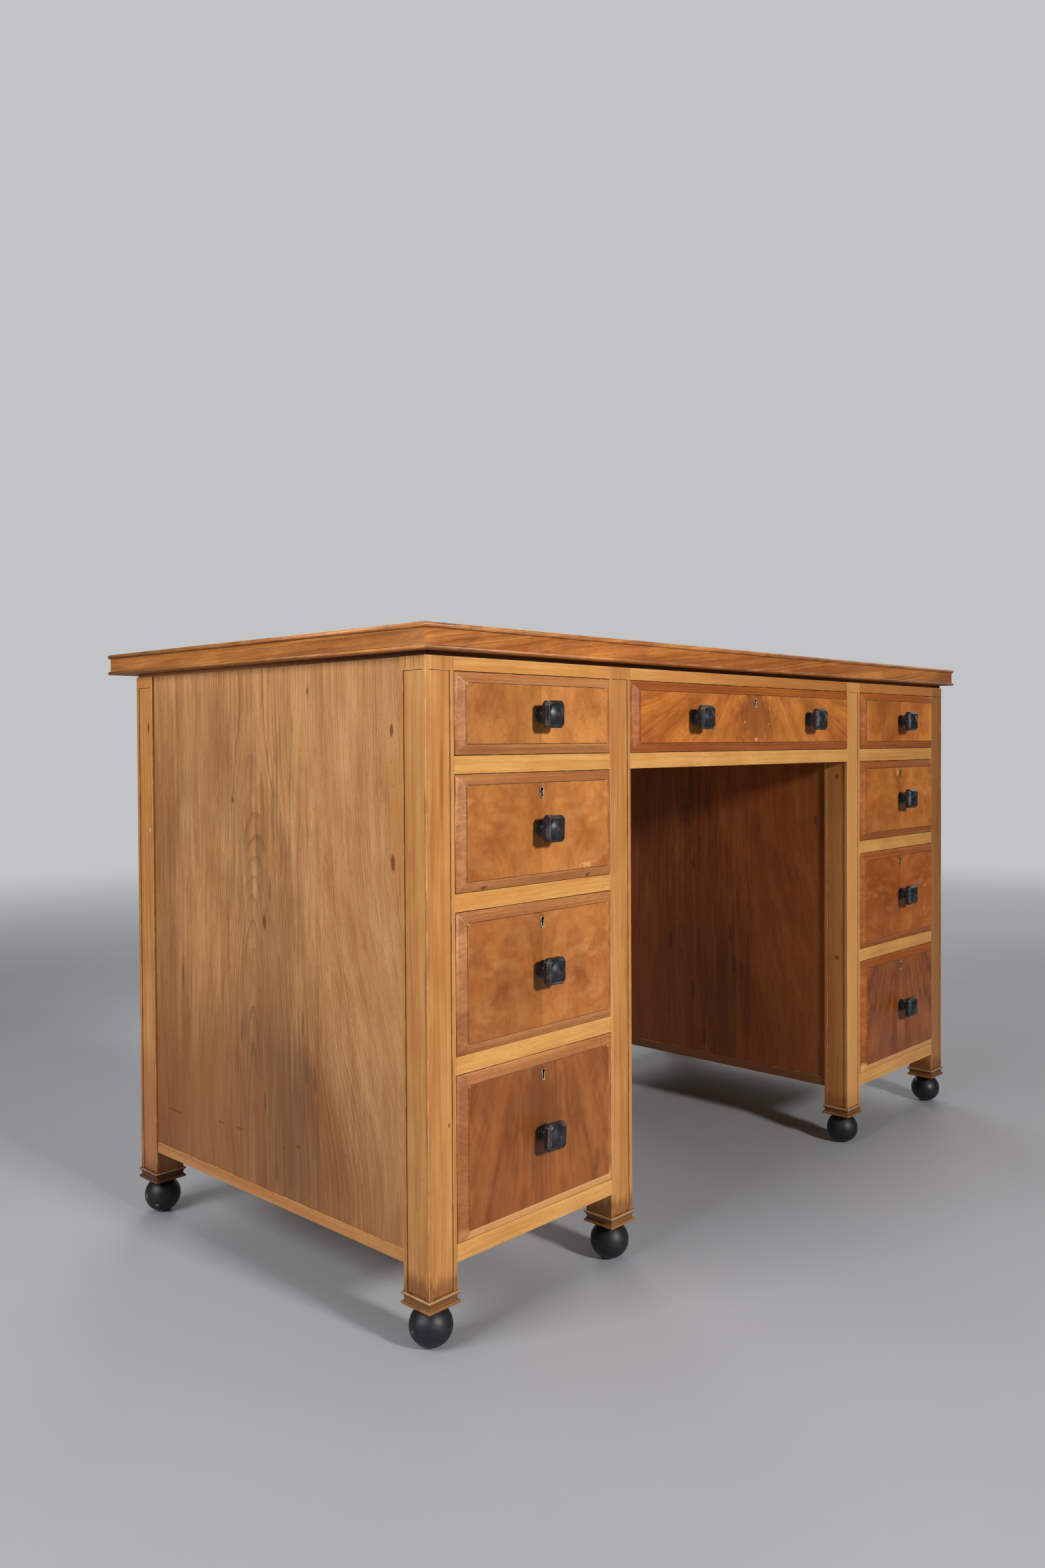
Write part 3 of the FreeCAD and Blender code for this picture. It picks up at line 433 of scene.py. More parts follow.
# The stain darkens the side rails near the middle, inside the kneehole: painted shade.
honey_deep = wood("honey_deep", **HONEY, along=TURN_TO_Y, ring=0.007, bend=0.016, lines=0.5,
                  stains=[((0.0, 0.0, 0.0), (0.62, 9.0, 9.0), 0.0, EVEN, (104, 56, 30), 0.85)])
collar_honey = wood("collar_honey", (168, 114, 60), (130, 82, 41), (74, 40, 21), along=TURN_TO_X,
                    ring=0.006, bend=0.01, lines=0.5, amount=0.5, dirt_and_shade=(58, 34, 20), stains=[
                        ((-0.6, 0.27, 0.05), (0.06, 0.06, 0.05), 0.4, EVEN, (82, 42, 26), 0.8),
                        ((-0.6, -0.28, 0.0592), (9.0, 9.0, 0.0009), 1.4, (260.0,) * 3,
                         (196, 178, 144), 0.42)])
EDGE = dict(dark=(82, 42, 18), amount=0.32, ring=0.0055, sharp=2.2, bend=0.03, lines=0.78, bands=1.0,
            cloud=0.5)
edge_across = wood("edge_across", (212, 136, 64), (156, 88, 36), **EDGE, along=TURN_TO_X,
                   tilt=(0.0, 0.12, 0.0), stains=[
                       ((-0.60, -0.322, 0.772), (0.05, 0.02, 0.004), 1.8, ACROSS, (82, 48, 28), 0.7),
                       ((-0.60, -0.322, 0.746), (0.06, 0.02, 0.004), 1.6, ACROSS, (86, 52, 30), 0.6)])
edge_deep = wood("edge_deep", (212, 144, 76), (166, 100, 44), **EDGE, along=TURN_TO_Y,
                 tilt=(0.04, 0.0, 0.0))
bruises = [((-0.537, -0.309, 0.4885), (0.006, 0.02, 0.003), 0.8, EVEN, (92, 50, 30), 0.8),
           ((-0.362, -0.309, 0.4885), (0.005, 0.02, 0.003), 0.8, EVEN, (92, 50, 30), 0.8),
           ((-0.45, -0.309, 0.110), (9.0, 0.05, 0.018), 0.2, ACROSS, (226, 168, 102), 0.9),
           ((-0.572, -0.309, 0.20), (0.012, 0.05, 0.25), 0.4, UP, (138, 74, 31), 0.55),
           ((-0.532, -0.309, 0.125), (0.012, 0.05, 0.040), 0.1, ACROSS, (214, 154, 92), 0.8)]
FRONT = dict(along=TURN_TO_X, ring=0.0045, sharp=3.0, bend=0.012, lines=0.55, bands=0.95,
             amount=0.5, coat=0.04, rough=0.46, stains=bruises)
front_wood = wood("front_wood", (200, 138, 82), (158, 96, 50), (94, 52, 28), **FRONT)
# The right pedestal's fronts are darker and redder: partly their own tone, partly painted shade, as
# the light falls off to the right.
front_dark = wood("front_dark", (190, 108, 42), (150, 77, 28), (86, 40, 16), **FRONT)
STREAKS = [(0.043, 0.292), (-0.084, 0.317), (-0.090, 0.261), (-0.107, 0.254), (0.180, 0.341),
           (-0.020, 0.470), (-0.006, 0.210), (-0.030, 0.130)]
SCRIBBLES = [((0.200, 0.1555), 0.026), ((0.092, 0.1640), 0.010), ((0.052, 0.1652), 0.017),
             ((-0.045, 0.1625), 0.004), ((-0.074, 0.1700), 0.005)]
SMOKE, DRIP = (120.0, 120.0, 7.0), (260.0, 260.0, 14.0)


def panel_veneer(name, face, light, middle, dark, smoke, lines=0.8):
    """The side panels are sister leaves of one flitch, so all show one figure. face is the
    distance of the panel's face from the middle of the desk."""
    stains = [((-face, 0.02, 0.08), (9.0, 0.42, 0.36), 0.6, UP, smoke[0], 0.55),
              ((-face, 0.26, 0.30), (9.0, 0.13, 0.60), 0.9, UP, smoke[0], 0.42),
              ((-face, -0.02, 0.36), (9.0, 0.13, 0.36), 2.6, SMOKE, smoke[1], 0.30),
              ((-face, -0.07, 0.18), (9.0, 0.07, 0.19), 2.2, SMOKE, smoke[1], 0.32),
              ((-face, 0.10, 0.60), (9.0, 0.20, 0.24), 2.6, SMOKE, smoke[1], 0.24),
              ((-face, 0.16, 0.22), (9.0, 0.14, 0.18), 3.0, SMOKE, smoke[2], 0.38),
              ((-face, -0.252, 0.56), (9.0, 0.012, 0.12), 0.8, UP, smoke[3], 0.55)]
    stains += [((-face, y, z), (9.0, 0.0035, 0.022), 0.9, DRIP, smoke[4], 0.55) for y, z in STREAKS]
    stains += [((-face, y, z), (9.0, long, 0.0018), 1.3, EVEN, (112, 48, 24), 0.75)
               for (y, z), long in SCRIBBLES]
    return wood(
        name, light, middle, dark, laid="pair", other_leaf=1.0, stray=0.0, ring=0.0042, sharp=4.0,
        bend=0.020, lines=lines, bands=0.68, cloud=0.32, pores=0.36, rough=0.48, coat=0.0,
        centre=(0.0, 0.02, 0.10), pith=(0.005 - face, 0.0, 0.0), tilt=(0.0, 0.012, 0.0),
        knots=[((face, -0.028, 0.33), 0.012), ((face, -0.268, 0.561), 0.010),
               ((face, -0.269, 0.418), 0.013), ((face, 0.039, 0.477), 0.006),
               ((face, -0.118, 0.608), 0.006)],
        sweeps=[((face, 0.0, 0.62), (0.4, 0.40, 0.30), 0.0, (0.050, 0.0, 0.0)),
                ((face, -0.27, 0.02), (0.4, 0.15, 0.26), 0.0, (0.0, 0.095, 0.0)),
                ((face, -0.03, 0.43), (0.4, 0.05, 0.05), 0.0, (0.0, 0.012, 0.0)),
                ((face, 0.10, 0.10), (0.4, 0.07, 0.12), 0.0, (0.0, -0.025, 0.0))],
        stains=stains)


outer_veneer = panel_veneer("outer_veneer", 0.6158, (208, 155, 100), (172, 115, 64), (96, 57, 30),
                            [(106, 52, 16), (96, 64, 42), (146, 88, 44), (190, 124, 58), (78, 56, 42)])
# The kneehole panels are darker and redder than the outer ones: partly their own tone, partly painted
# shade inside the kneehole.
inner_veneer_shaded = panel_veneer("inner_veneer_shaded", 0.2792, (178, 100, 44), (138, 70, 30), (68, 33, 16),
                            [(112, 56, 20), (66, 35, 18), (140, 70, 26), (150, 84, 34), (46, 26, 16)],
                            lines=0.5)
back_veneer = wood("back_veneer", (186, 132, 80), (154, 98, 54), (98, 60, 36), ring=0.009,
                   pith=(0.06, 0.03, 0.0), tilt=(0.05, 0.0, 0.0), stray=0.0, bend=0.03,
                   lines=0.7, coat=0.1, rough=0.5)
top_leaf = wood("top_leaf", (198, 136, 74), (166, 104, 52), (104, 60, 30), laid="pair",
                along=TURN_TO_X, pith=(0.0, 0.012, 0.0), stray=0.0, ring=0.010,
                bend=0.05, lines=0.6, cloud=0.4, coat=0.2, rough=0.36)
BAND = dict(light=(184, 118, 60), middle=(152, 88, 42), dark=(96, 50, 24), ring=0.006, bend=0.02,
            lines=0.5, coat=0.2, rough=0.36)
band_across = wood("band_across", **BAND, along=TURN_TO_X)
band_deep = wood("band_deep", **BAND, along=TURN_TO_Y)
OAK = dict(light=(206, 172, 120), middle=(180, 142, 92), dark=(136, 98, 58), ring=0.005,
           bend=0.012, lines=0.45, pores=0.9, coat=0.0, rough=0.6)
oak_across = wood("oak_across", **OAK, along=TURN_TO_X)
oak_deep = wood("oak_deep", **OAK, along=TURN_TO_Y)
# This dark finish is the thin dark line in the top's veneer and, on the spacers, painted shade in the
# recess under the top. Its two lighter patches, at the back of the left side and the right of the
# front, are painted light where the recess is less shaded.
stringing_and_shade_wood = wood("stringing_and_shade_wood", (92, 58, 34), (74, 46, 27), (46, 28, 16), along=TURN_TO_X,
                   coat=0.0, rough=0.6, stains=[
                       ((-0.617, 0.289, 0.742), (0.1, 0.50, 0.1), 0.2, EVEN, (168, 108, 66), 0.8),
                       ((0.617, -0.304, 0.742), (0.45, 0.1, 0.1), 0.2, EVEN, (140, 84, 48), 0.6)])
print("wood finishes:", len(bpy.data.materials))

# %% [markdown]
# ## Black stain
# The knobs and ball feet are ebonised: a hard, even wood stained black and waxed. It never
# wears back evenly. The arrises go grey, a knob's boss is rubbed down to the red-brown wood
# by years of fingertips, and a knock on a foot shows pale wood.

# %% Ebonised wood
def ebony(name, black, worn_black, rough, bare, bare_colour, low=0.35, high=0.6):
    """Black-stained wood. bare names the mark on the mesh where the stain has gone."""
    made = bpy.data.materials.new(name)
    tree = graph(made)
    at = put(tree, "TexCoord").outputs["Object"]
    marks = use(tree, wear, {"Vector": at, "Amount": 0.8})
    mottle = noise(tree, at, (150.0,) * 3, detail=4.0)[0]
    colour = blend(tree, ramp(tree, mottle, 0.3, 0.75), tint(*black), tint(*worn_black))
    colour = blend(tree, marks["Worn"], colour, tint(112, 104, 98))
    colour = blend(tree, marks["Dirt and shade"], colour, tint(20, 18, 17))
    gone = put(tree, "Attribute", attribute_name=bare).outputs["Fac"]
    colour = blend(tree, sum_of(tree, "MULTIPLY", gone, ramp(tree, mottle, low, high), clamp=True),
                   colour, tint(*bare_colour))
    surface(tree, colour, mottle, rough, 0.12, mottle, 0.2, 0.3 * MM, {"IOR": 1.5})
    return made


knob_black = ebony("knob_black", (17, 19, 23), (36, 38, 43), 0.36, "rubbed", (92, 44, 38))
ball_black = ebony("ball_black", (9, 11, 13), (18, 20, 23), 0.50, "chipped", (112, 102, 88),
                   0.38, 0.52)
print("ebonised:", knob_black.name, ball_black.name)

# %% [markdown]
# ## Brass and steel
# The keyholes are lined with thin brass, gone dull. Deep in a keyhole the brass is painted
# black, as painted shade. Bolts and screws are plain steel.

# %% Metals
def metal(name, bright, tarnish, rough, shine=0.9, dark_behind=None):
    """An old metal: bright where it is rubbed, brown where it isn't, painted black as shade deep in a
    hole.
    """
    made = bpy.data.materials.new(name)
    tree = graph(made)
    at = put(tree, "TexCoord").outputs["Object"]
    patina = noise(tree, at, (180.0,) * 3, detail=4.0)[0]
    colour = blend(tree, ramp(tree, patina, 0.35, 0.65), tint(*bright), tint(*tarnish))
    # Painted shade: behind the field's face the brass turns near black, deep in the keyhole.
    if dark_behind is not None:
        deep = ramp(tree, put(tree, "SeparateXYZ", {0: at}).outputs[1], dark_behind,
                    dark_behind + 0.4 * MM)
        colour = blend(tree, deep, colour, tint(24, 18, 14))
    surface(tree, colour, patina, rough, 0.20, patina, 0.15, 0.2 * MM, {"Metallic": shine})
    return made


brass = metal("brass", (206, 190, 150), (124, 112, 88), 0.5, 0.25, dark_behind=-312.9 * MM)
steel = metal("steel", (150, 148, 144), (96, 88, 80), 0.45)
print("metals:", brass.name, steel.name)

# %% [markdown]
# ## Tools for building pieces
# A board is a cube that is stretched, moved and given eased arrises. Boards in one mesh
# each get a number, which moves them to another part of the tree, so that two neighbours
# never share their grain.

# %% Mesh helpers
def new_mesh(*marks, source=None):
    """An empty mesh, or a copy, that can carry board numbers and marks on its faces."""
    bm = bmesh.new()
    if source:
        bm.from_mesh(source)
    bm.verts.layers.float.new("board")
    for mark in ("arris", "recess") + marks:
        bm.faces.layers.float.new(mark)
    return bm


def pour(part, bm):
    """Add a finished part to the mesh of its piece."""
    mesh = bpy.data.meshes.new("part")
    part.to_mesh(mesh)
    part.free()
    bm.from_mesh(mesh)
    bpy.data.meshes.remove(mesh)


def stamp(bm, board, finish=0):
    """Number the vertices that have no number yet, and give their faces a finish."""
    layer = bm.verts.layers.float["board"]
    for face in bm.faces:
        if any(v[layer] == 0.0 for v in face.verts):
            face.material_index = finish
    for v in bm.verts:
        if v[layer] == 0.0:
            v[layer] = board


def ease(bm, edges, radius, segments=2):
    """Round edges, and mark the new faces as arrises."""
    made = bmesh.ops.bevel(bm, geom=list(edges), offset=radius, offset_type="OFFSET",
                           segments=segments, profile=0.5, affect="EDGES", material=-1,
                           clamp_overlap=True)
    layer = bm.faces.layers.float["arris"]
    for face in made["faces"]:
        face[layer] = 1.0
    return made


def block(bm, low, high):
    """A squared block between two corners; returns its vertices."""
    low, high = Vector(low), Vector(high)
    made = bmesh.ops.create_cube(bm, size=1.0)["verts"]
    bmesh.ops.scale(bm, vec=high - low, verts=made)
    bmesh.ops.translate(bm, vec=(low + high) / 2, verts=made)
    return made


def edges_of(verts):
    """Every edge that meets these vertices."""
    return list({e for v in verts for e in v.link_edges})


def board(bm, low, high, number, finish=0, radius=0.5 * MM):
    """A board with eased arrises."""
    ease(bm, edges_of(block(bm, low, high)), radius)
    stamp(bm, number, finish)


def facing(bm, direction, place=None, verts=None):
    """The faces that look one way, at one place along it."""
    direction = Vector(direction)
    faces = bm.faces if verts is None else {f for v in verts for f in v.link_faces}
    return [f for f in faces if f.normal.dot(direction) > 0.99 and
            (place is None or abs(f.calc_center_median().dot(direction) - place) < 1e-5)]


def cut(bm, point, normal, geom=None, away=False):
    """Cut along a plane. away throws out what lies beyond it and closes the hole."""
    if geom is None:
        geom = bm.verts[:] + bm.edges[:] + bm.faces[:]
    made = bmesh.ops.bisect_plane(bm, geom=geom, plane_co=point, plane_no=normal,
                                  dist=1e-7 if away else 1e-6, clear_outer=away)
    if away:
        rim = [g for g in made["geom_cut"] if isinstance(g, bmesh.types.BMEdge)]
        bmesh.ops.holes_fill(bm, edges=rim)
    return made["geom"]


def turned(bm, profile, centre, axis, start, steps):
    """Spin a profile of (radius, along) points round an axis; four steps make a square."""
    axis, start, centre = Vector(axis), Vector(start), Vector(centre)
    points = [bm.verts.new(centre + start * r + axis * a) for r, a in profile]
    edges = [bm.edges.new(two) for two in zip(points, points[1:])]
    bmesh.ops.spin(bm, geom=points + edges, cent=centre, axis=axis, dvec=(0, 0, 0),
                   angle=math.tau, steps=steps, use_merge=True, use_duplicate=False)
    bmesh.ops.remove_doubles(bm, verts=bm.verts, dist=1e-6)


def place_piece(bm, name, body, finishes, replaces=(), smooth=True):
    """Turn the mesh into a piece that rides on a body."""
    bmesh.ops.recalc_face_normals(bm, faces=bm.faces)
    mesh = bpy.data.meshes.new(name)
    bm.to_mesh(mesh)
    bm.free()
    if smooth:
        mesh.shade_smooth()
    for finish in finishes:
        mesh.materials.append(finish)
    piece = bpy.data.objects.new(name, mesh)
    bpy.context.scene.collection.objects.link(piece)
    if smooth:
        piece.modifiers.new("even shading", "WEIGHTED_NORMAL")
    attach(piece, body)
    if replaces:
        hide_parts(*replaces)
    print(name, "faces", len(mesh.polygons))


sample = new_mesh()
board(sample, (0.0, 0.0, 0.0), (0.3, 0.1, 0.02), 1)
print("faces of one eased board:", len(sample.faces))
sample.free()

# %% [markdown]
# ## The studio
# A pale floor and soft light from large panels. The floor keeps the desk's shadow, and it
# fades into the same pale grey that the camera sees as background.

# %% Floor, backdrop and lamps
BACKDROP = tint(194, 195, 197)
bm = bmesh.new()
bmesh.ops.create_circle(bm, cap_ends=True, radius=12.0, segments=64)
mesh = bpy.data.meshes.new("floor")
bm.to_mesh(mesh)
bm.free()
floor = bpy.data.objects.new("floor", mesh)
bpy.context.scene.collection.objects.link(floor)
paint = bpy.data.materials.new("floor_paint")
tree = graph(paint)
at = put(tree, "TexCoord").outputs["Object"]
away = length_of(tree, at)
scuff = noise(tree, at, (2.0,) * 3, detail=4.0)[0]
shader = put(tree, "BsdfPrincipled", {
    "Base Color": blend(tree, scuff, tint(158, 159, 162), tint(170, 171, 175)),
    "Roughness": 0.60, "Specular IOR Level": 0.20})
glow = put(tree, "Emission", {"Color": BACKDROP, "Strength": 1.0})
seen = put(tree, "LightPath").outputs["Is Camera Ray"]
fade = sum_of(tree, "MULTIPLY", ramp(tree, away, 1.6, 5.0), seen)
mixed = put(tree, "MixShader", {0: fade, 1: shader.outputs[0], 2: glow.outputs[0]})
put(tree, "OutputMaterial", {"Surface": mixed.outputs[0]})
mesh.materials.append(paint)

world = bpy.data.worlds.new("studio")
bpy.context.scene.world = world
tree = graph(world)
seen = put(tree, "LightPath").outputs["Is Camera Ray"]
fill = put(tree, "Background", {"Color": (1.0, 1.0, 1.0, 1.0), "Strength": 0.07})
shown = put(tree, "Background", {"Color": BACKDROP, "Strength": 1.0})
mixed = put(tree, "MixShader", {0: seen, 1: fill.outputs[0], 2: shown.outputs[0]})
put(tree, "OutputWorld", {"Surface": mixed.outputs[0]})

TARGET = Vector((0.0, 0.0, 0.40))


def softbox(name, place, width, height, power, shade=(1.0, 1.0, 1.0), target=TARGET, spread=180):
    """A rectangular lamp that looks at the desk, and stays out of the picture."""
    lamp = bpy.data.lights.new(name, "AREA")
    lamp.color = shade
    lamp.shape, lamp.size, lamp.size_y, lamp.energy = "RECTANGLE", width, height, power
    lamp.spread = math.radians(spread)
    made = bpy.data.objects.new(name, lamp)
    bpy.context.scene.collection.objects.link(made)
    made.location = place
    made.rotation_euler = (target - Vector(place)).to_track_quat("-Z", "Y").to_euler()
    made.visible_camera = False


softbox("key", (-0.5, -3.3, 1.6), 0.4, 0.4, 30.5, target=Vector((-0.55, -0.3, 0.45)), spread=100)
softbox("left", (-2.6, 0.0, 1.6), 1.3, 1.3, 52.0, (0.94, 0.97, 1.0))
softbox("over", (-0.3, 0.2, 3.2), 2.2, 1.8, 18.0)
softbox("right", (3.0, 0.3, 1.7), 1.8, 1.8, 19.0)
softbox("behind", (2.2, 2.7, 2.0), 2.0, 1.6, 44.0)
bpy.context.scene.view_settings.view_transform = "Standard"
print("lamps:", len(bpy.data.lights))

# %% [markdown]
# ## The desk's own sizes
# These repeat the sizes the construction is built from, so that each detail is drawn once
# and put where the frame already has its plain block.

# %% Sizes
POST, SINK, BEAD = 41.0 * MM, 1.2 * MM, 5.5 * MM
OUTER, INNER = 619.0 * MM, 276.0 * MM                 # outer faces of the posts, from the middle
Y_FRONT, Y_BACK = -306.25 * MM, 288.75 * MM           # faces of the posts
Z_COLLAR, Z_COLLAR_TOP = 46.0 * MM, 60.0 * MM
Z_LINE, Z_CARCASS = 724.2 * MM, 739.2 * MM            # top line of the sunk panels, post tops
RAIL, Z_RAIL = 19.6 * MM, 89.0 * MM
OPENINGS = [(108.6 * MM, 290.4 * MM), (310.0 * MM, 465.4 * MM),
            (485.0 * MM, 613.6 * MM), (633.2 * MM, 724.2 * MM)]
spans = [(-OUTER + POST, -INNER - POST), (INNER + POST, OUTER - POST)]
posts = [(side * face, side * way, y, look) for side in (-1, 1)
         for face, way in ((OUTER, 1), (INNER, -1))
         for y, look in ((Y_FRONT, -1), (Y_BACK, 1))]
print("posts:", [(round(x, 3), w, round(y, 3)) for x, w, y, _ in posts])

# %% [markdown]
# ## Posts
# Each post is a square stick with a shallow sunk panel on its two open faces. The panel is
# bordered by a flat bead and a thin quirk, the dark line that a scratch stock leaves. The
# stick is a block, cut across at the top line. A strip of the open face between the beads
# is inset three times: down into the quirk, across it, and up to the sunk face.

# %% Build the posts
QUIRK_WIDE, QUIRK_DEEP = 0.35 * MM, 0.5 * MM


def post(bm, x_face, way, y_face, look, number):
    """One post; way and look say which side is open, -1 or 1."""
    x0, x1 = sorted((x_face, x_face - way * POST))
    y0, y1 = sorted((y_face, y_face - look * POST))
    stick = new_mesh()
    block(stick, (x0, y0, Z_COLLAR_TOP), (x1, y1, Z_CARCASS))
    for point, normal in (((0, 0, Z_LINE), (0, 0, 1)),
                          ((x0 + BEAD, 0, 0), (1, 0, 0)), ((x1 - BEAD, 0, 0), (1, 0, 0)),
                          ((0, y0 + BEAD, 0), (0, 1, 0)), ((0, y1 - BEAD, 0), (0, 1, 0))):
        cut(stick, point, normal)
    strips = []
    for direction, face_at, low, high, axis in (
            ((way, 0, 0), way * x_face, y0, y1, 1), ((0, look, 0), look * y_face, x0, x1, 0)):
        for f in facing(stick, direction, face_at):
            middle = f.calc_center_median()
            if low + BEAD < middle[axis] < high - BEAD and middle.z < Z_LINE:
                strips.append(f)
    recess = stick.faces.layers.float["recess"]
    # Marked as a recess, the face beside the side panel comes out darker.
    for f in facing(stick, (0, -look, 0), -look * (y_face - look * POST)):
        f[recess] = 0.75
    # The quirk's faces are marked as a recess: dirt and painted shade in the groove.
    for width, depth in ((0.15 * MM, -(SINK + QUIRK_DEEP)), (QUIRK_WIDE, 0.0),
                         (0.15 * MM, QUIRK_DEEP)):
        ring = bmesh.ops.inset_individual(stick, faces=strips, thickness=width, depth=depth,
                                          use_even_offset=True)
        for f in ring["faces"]:
            f[recess] = 1.0
    lines = [e for e in stick.edges if e.is_manifold and e.calc_face_angle(0.0) > 1.0
             and all(abs(v.co.x - x0) < 1e-6 or abs(v.co.x - x1) < 1e-6 or
                     abs(v.co.y - y0) < 1e-6 or abs(v.co.y - y1) < 1e-6 for v in e.verts)]
    ease(stick, lines, 0.6 * MM, 2)
    stamp(stick, number)
    pour(stick, bm)


for name, wanted in (("front_posts", -1), ("back_posts", 1)):
    bm = new_mesh()
    for number, (x, way, y, look) in enumerate(posts, start=1):
        if look == wanted:
            post(bm, x, way, y, look, number)
    place_piece(bm, name + "_shaped", "carcass", [honey_upright], [name])

# %% [markdown]
# ## Collars
# The square moulding under a post is two thin lips with a hollow between, mitred at the
# corners. Spinning its profile in four steps instead of forty-eight makes exactly that: a
# square turned shape, mitred by itself.

# %% Build the collars
COLLAR_PROFILE = [(0.0, 0.0), (1.2, 0.0), (2.1, 0.5), (2.6, 1.5), (2.5, 2.7), (1.7, 3.5),
                  (0.5, 4.2), (-0.1, 5.6), (-0.2, 7.2), (0.1, 8.8), (0.8, 10.0), (1.8, 10.7),
                  (2.5, 11.5), (2.6, 12.5), (2.2, 13.4), (1.3, 14.0), (0.0, 14.0)]


def collar(bm, x, y, number):
    """One collar with its middle at x, y."""
    made = new_mesh()
    corner = Vector((1.0, 1.0, 0.0)).normalized()
    profile = [((POST / 2 + out * MM) * math.sqrt(2.0), up * MM) for out, up in COLLAR_PROFILE]
    profile = [(0.0, 0.0)] + profile + [(0.0, COLLAR_PROFILE[-1][1] * MM)]
    turned(made, profile, (x, y, Z_COLLAR), (0, 0, 1), corner, steps=4)
    bmesh.ops.recalc_face_normals(made, faces=made.faces)
    mitres = [e for e in made.edges if abs(e.verts[0].co.z - e.verts[1].co.z) > 0.1 * MM
              and e.is_manifold and e.calc_face_angle(0.0) > 0.5]
    ease(made, mitres, 0.35 * MM, 1)
    recess = made.faces.layers.float["recess"]
    # The hollow between the lips is marked as a recess: dirt and painted shade.
    for face in made.faces:
        up = (face.calc_center_median().z - Z_COLLAR) / MM
        if 3.5 < up < 10.0:
            face[recess] = 0.55
    stamp(made, number)
    pour(made, bm)


bm = new_mesh()
middles = [(x - way * POST / 2, y - look * POST / 2) for x, way, y, look in posts]
for number, (x, y) in enumerate(middles, start=1):
    collar(bm, x, y, number)
place_piece(bm, "collars_moulded", "carcass", [collar_honey], ["foot_collars"])

# %% [markdown]
# ## Ball feet
# A ball foot is turned on a lathe and stained black. A sphere is cut flat where it stands
# and where it meets the collar. Small bruises are pressed in with a soft brush: points near
# a knock move inwards, the nearer the deeper.

# %% Build the ball feet
BALL, FLAT = 24.0 * MM, 1.0 * MM
TREAD = 0.25 * MM                        # the foot touches the floor on a small worn spot
knocks = [(0, (-0.985, 0.08, -0.08), 3.8), (1, (-0.92, 0.10, 0.05), 4.0),
          (1, (-0.70, -0.55, -0.35), 3.5), (4, (-0.60, -0.60, 0.30), 3.0),
          (6, (0.50, -0.75, -0.20), 3.5), (3, (0.70, 0.60, -0.30), 4.0)]
bm = new_mesh("chipped")
for number, (x, y) in enumerate(middles):
    ball = bmesh.ops.create_uvsphere(bm, u_segments=56, v_segments=40, radius=BALL)["verts"]
    centre = Vector((x, y, BALL - FLAT))
    lower = [v for v in ball if v.co.z < -1e-6]
    bmesh.ops.scale(bm, vec=(1, 1, (BALL - FLAT + TREAD) / BALL), verts=lower)
    bmesh.ops.translate(bm, vec=centre, verts=ball)
    for level, way in ((0.0, -1), (Z_COLLAR, 1)):
        live = [v for v in ball if v.is_valid]
        faces = list({f for v in live for f in v.link_faces})
        cut(bm, (0, 0, level), (0, 0, way), live + edges_of(live) + faces, away=True)
    chipped = bm.faces.layers.float["chipped"]
    for which, way, size in knocks:
        if which == number:
            hit = centre + Vector(way).normalized() * BALL
            near = [v for v in bm.verts if (v.co - hit).length < size * MM]
            for v in near:
                share = 1.0 - (v.co - hit).length / (size * MM)
                v.co += (centre - hit).normalized() * 0.7 * MM * share
            for f in {f for v in near for f in v.link_faces}:
                if (f.calc_center_median() - hit).length < 0.7 * size * MM:
                    f[chipped] = 1.0
    stamp(bm, number + 1)
place_piece(bm, "ball_feet_turned", "carcass", [ball_black], ["ball_feet"])

# %% [markdown]
# ## Rails
# The rails are plain squared sticks between the posts, so each is one board. What matters
# is that their arrises are eased, because a sharp corner never catches the light. Over each
# lock a mortise is cut in the rail, for the bolt to rise into: four cuts across the rail's
# underside leave a small rectangle, and an inset with depth sinks it.

# %% Build the rails
RAIL_THICK, SIDE_RAIL_THICK = 30.0 * MM, 16.0 * MM
SET_IN, Z_LOW_RAIL = 2.0 * MM, 103.5 * MM             # side and back rails: set in, and low tops
PLAY, THROW = 0.5 * MM, 6.0 * MM                      # round a bolt, and how far it rises


def mortise(bm, bolt):
    """A mortise in the rail above a lock bolt."""
    low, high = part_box(bolt)
    middle = (low + high) / 2
    low, high = low - Vector((PLAY,) * 3), high + Vector((PLAY,) * 3)
    under = [f for f in facing(bm, (0, 0, -1)) if 0 < f.calc_center_median().z - middle.z < 20 * MM
             and all(min(v.co[i] for v in f.verts) < middle[i] < max(v.co[i] for v in f.verts)
                     for i in (0, 1))]
    made = under + [e for f in under for e in f.edges] + [v for f in under for v in f.verts]
    for axis, at in ((0, low.x), (0, high.x), (1, low.y), (1, high.y)):
        normal = Vector((axis == 0, axis == 1, 0))
        made = cut(bm, normal * at, normal, made)
    hole = [f for f in made if isinstance(f, bmesh.types.BMFace) and
            all(low[i] < f.calc_center_median()[i] < high[i] for i in (0, 1))]
    bmesh.ops.inset_individual(bm, faces=hole, thickness=0.02 * MM, depth=-(THROW + 2 * PLAY))
    return len(hole)


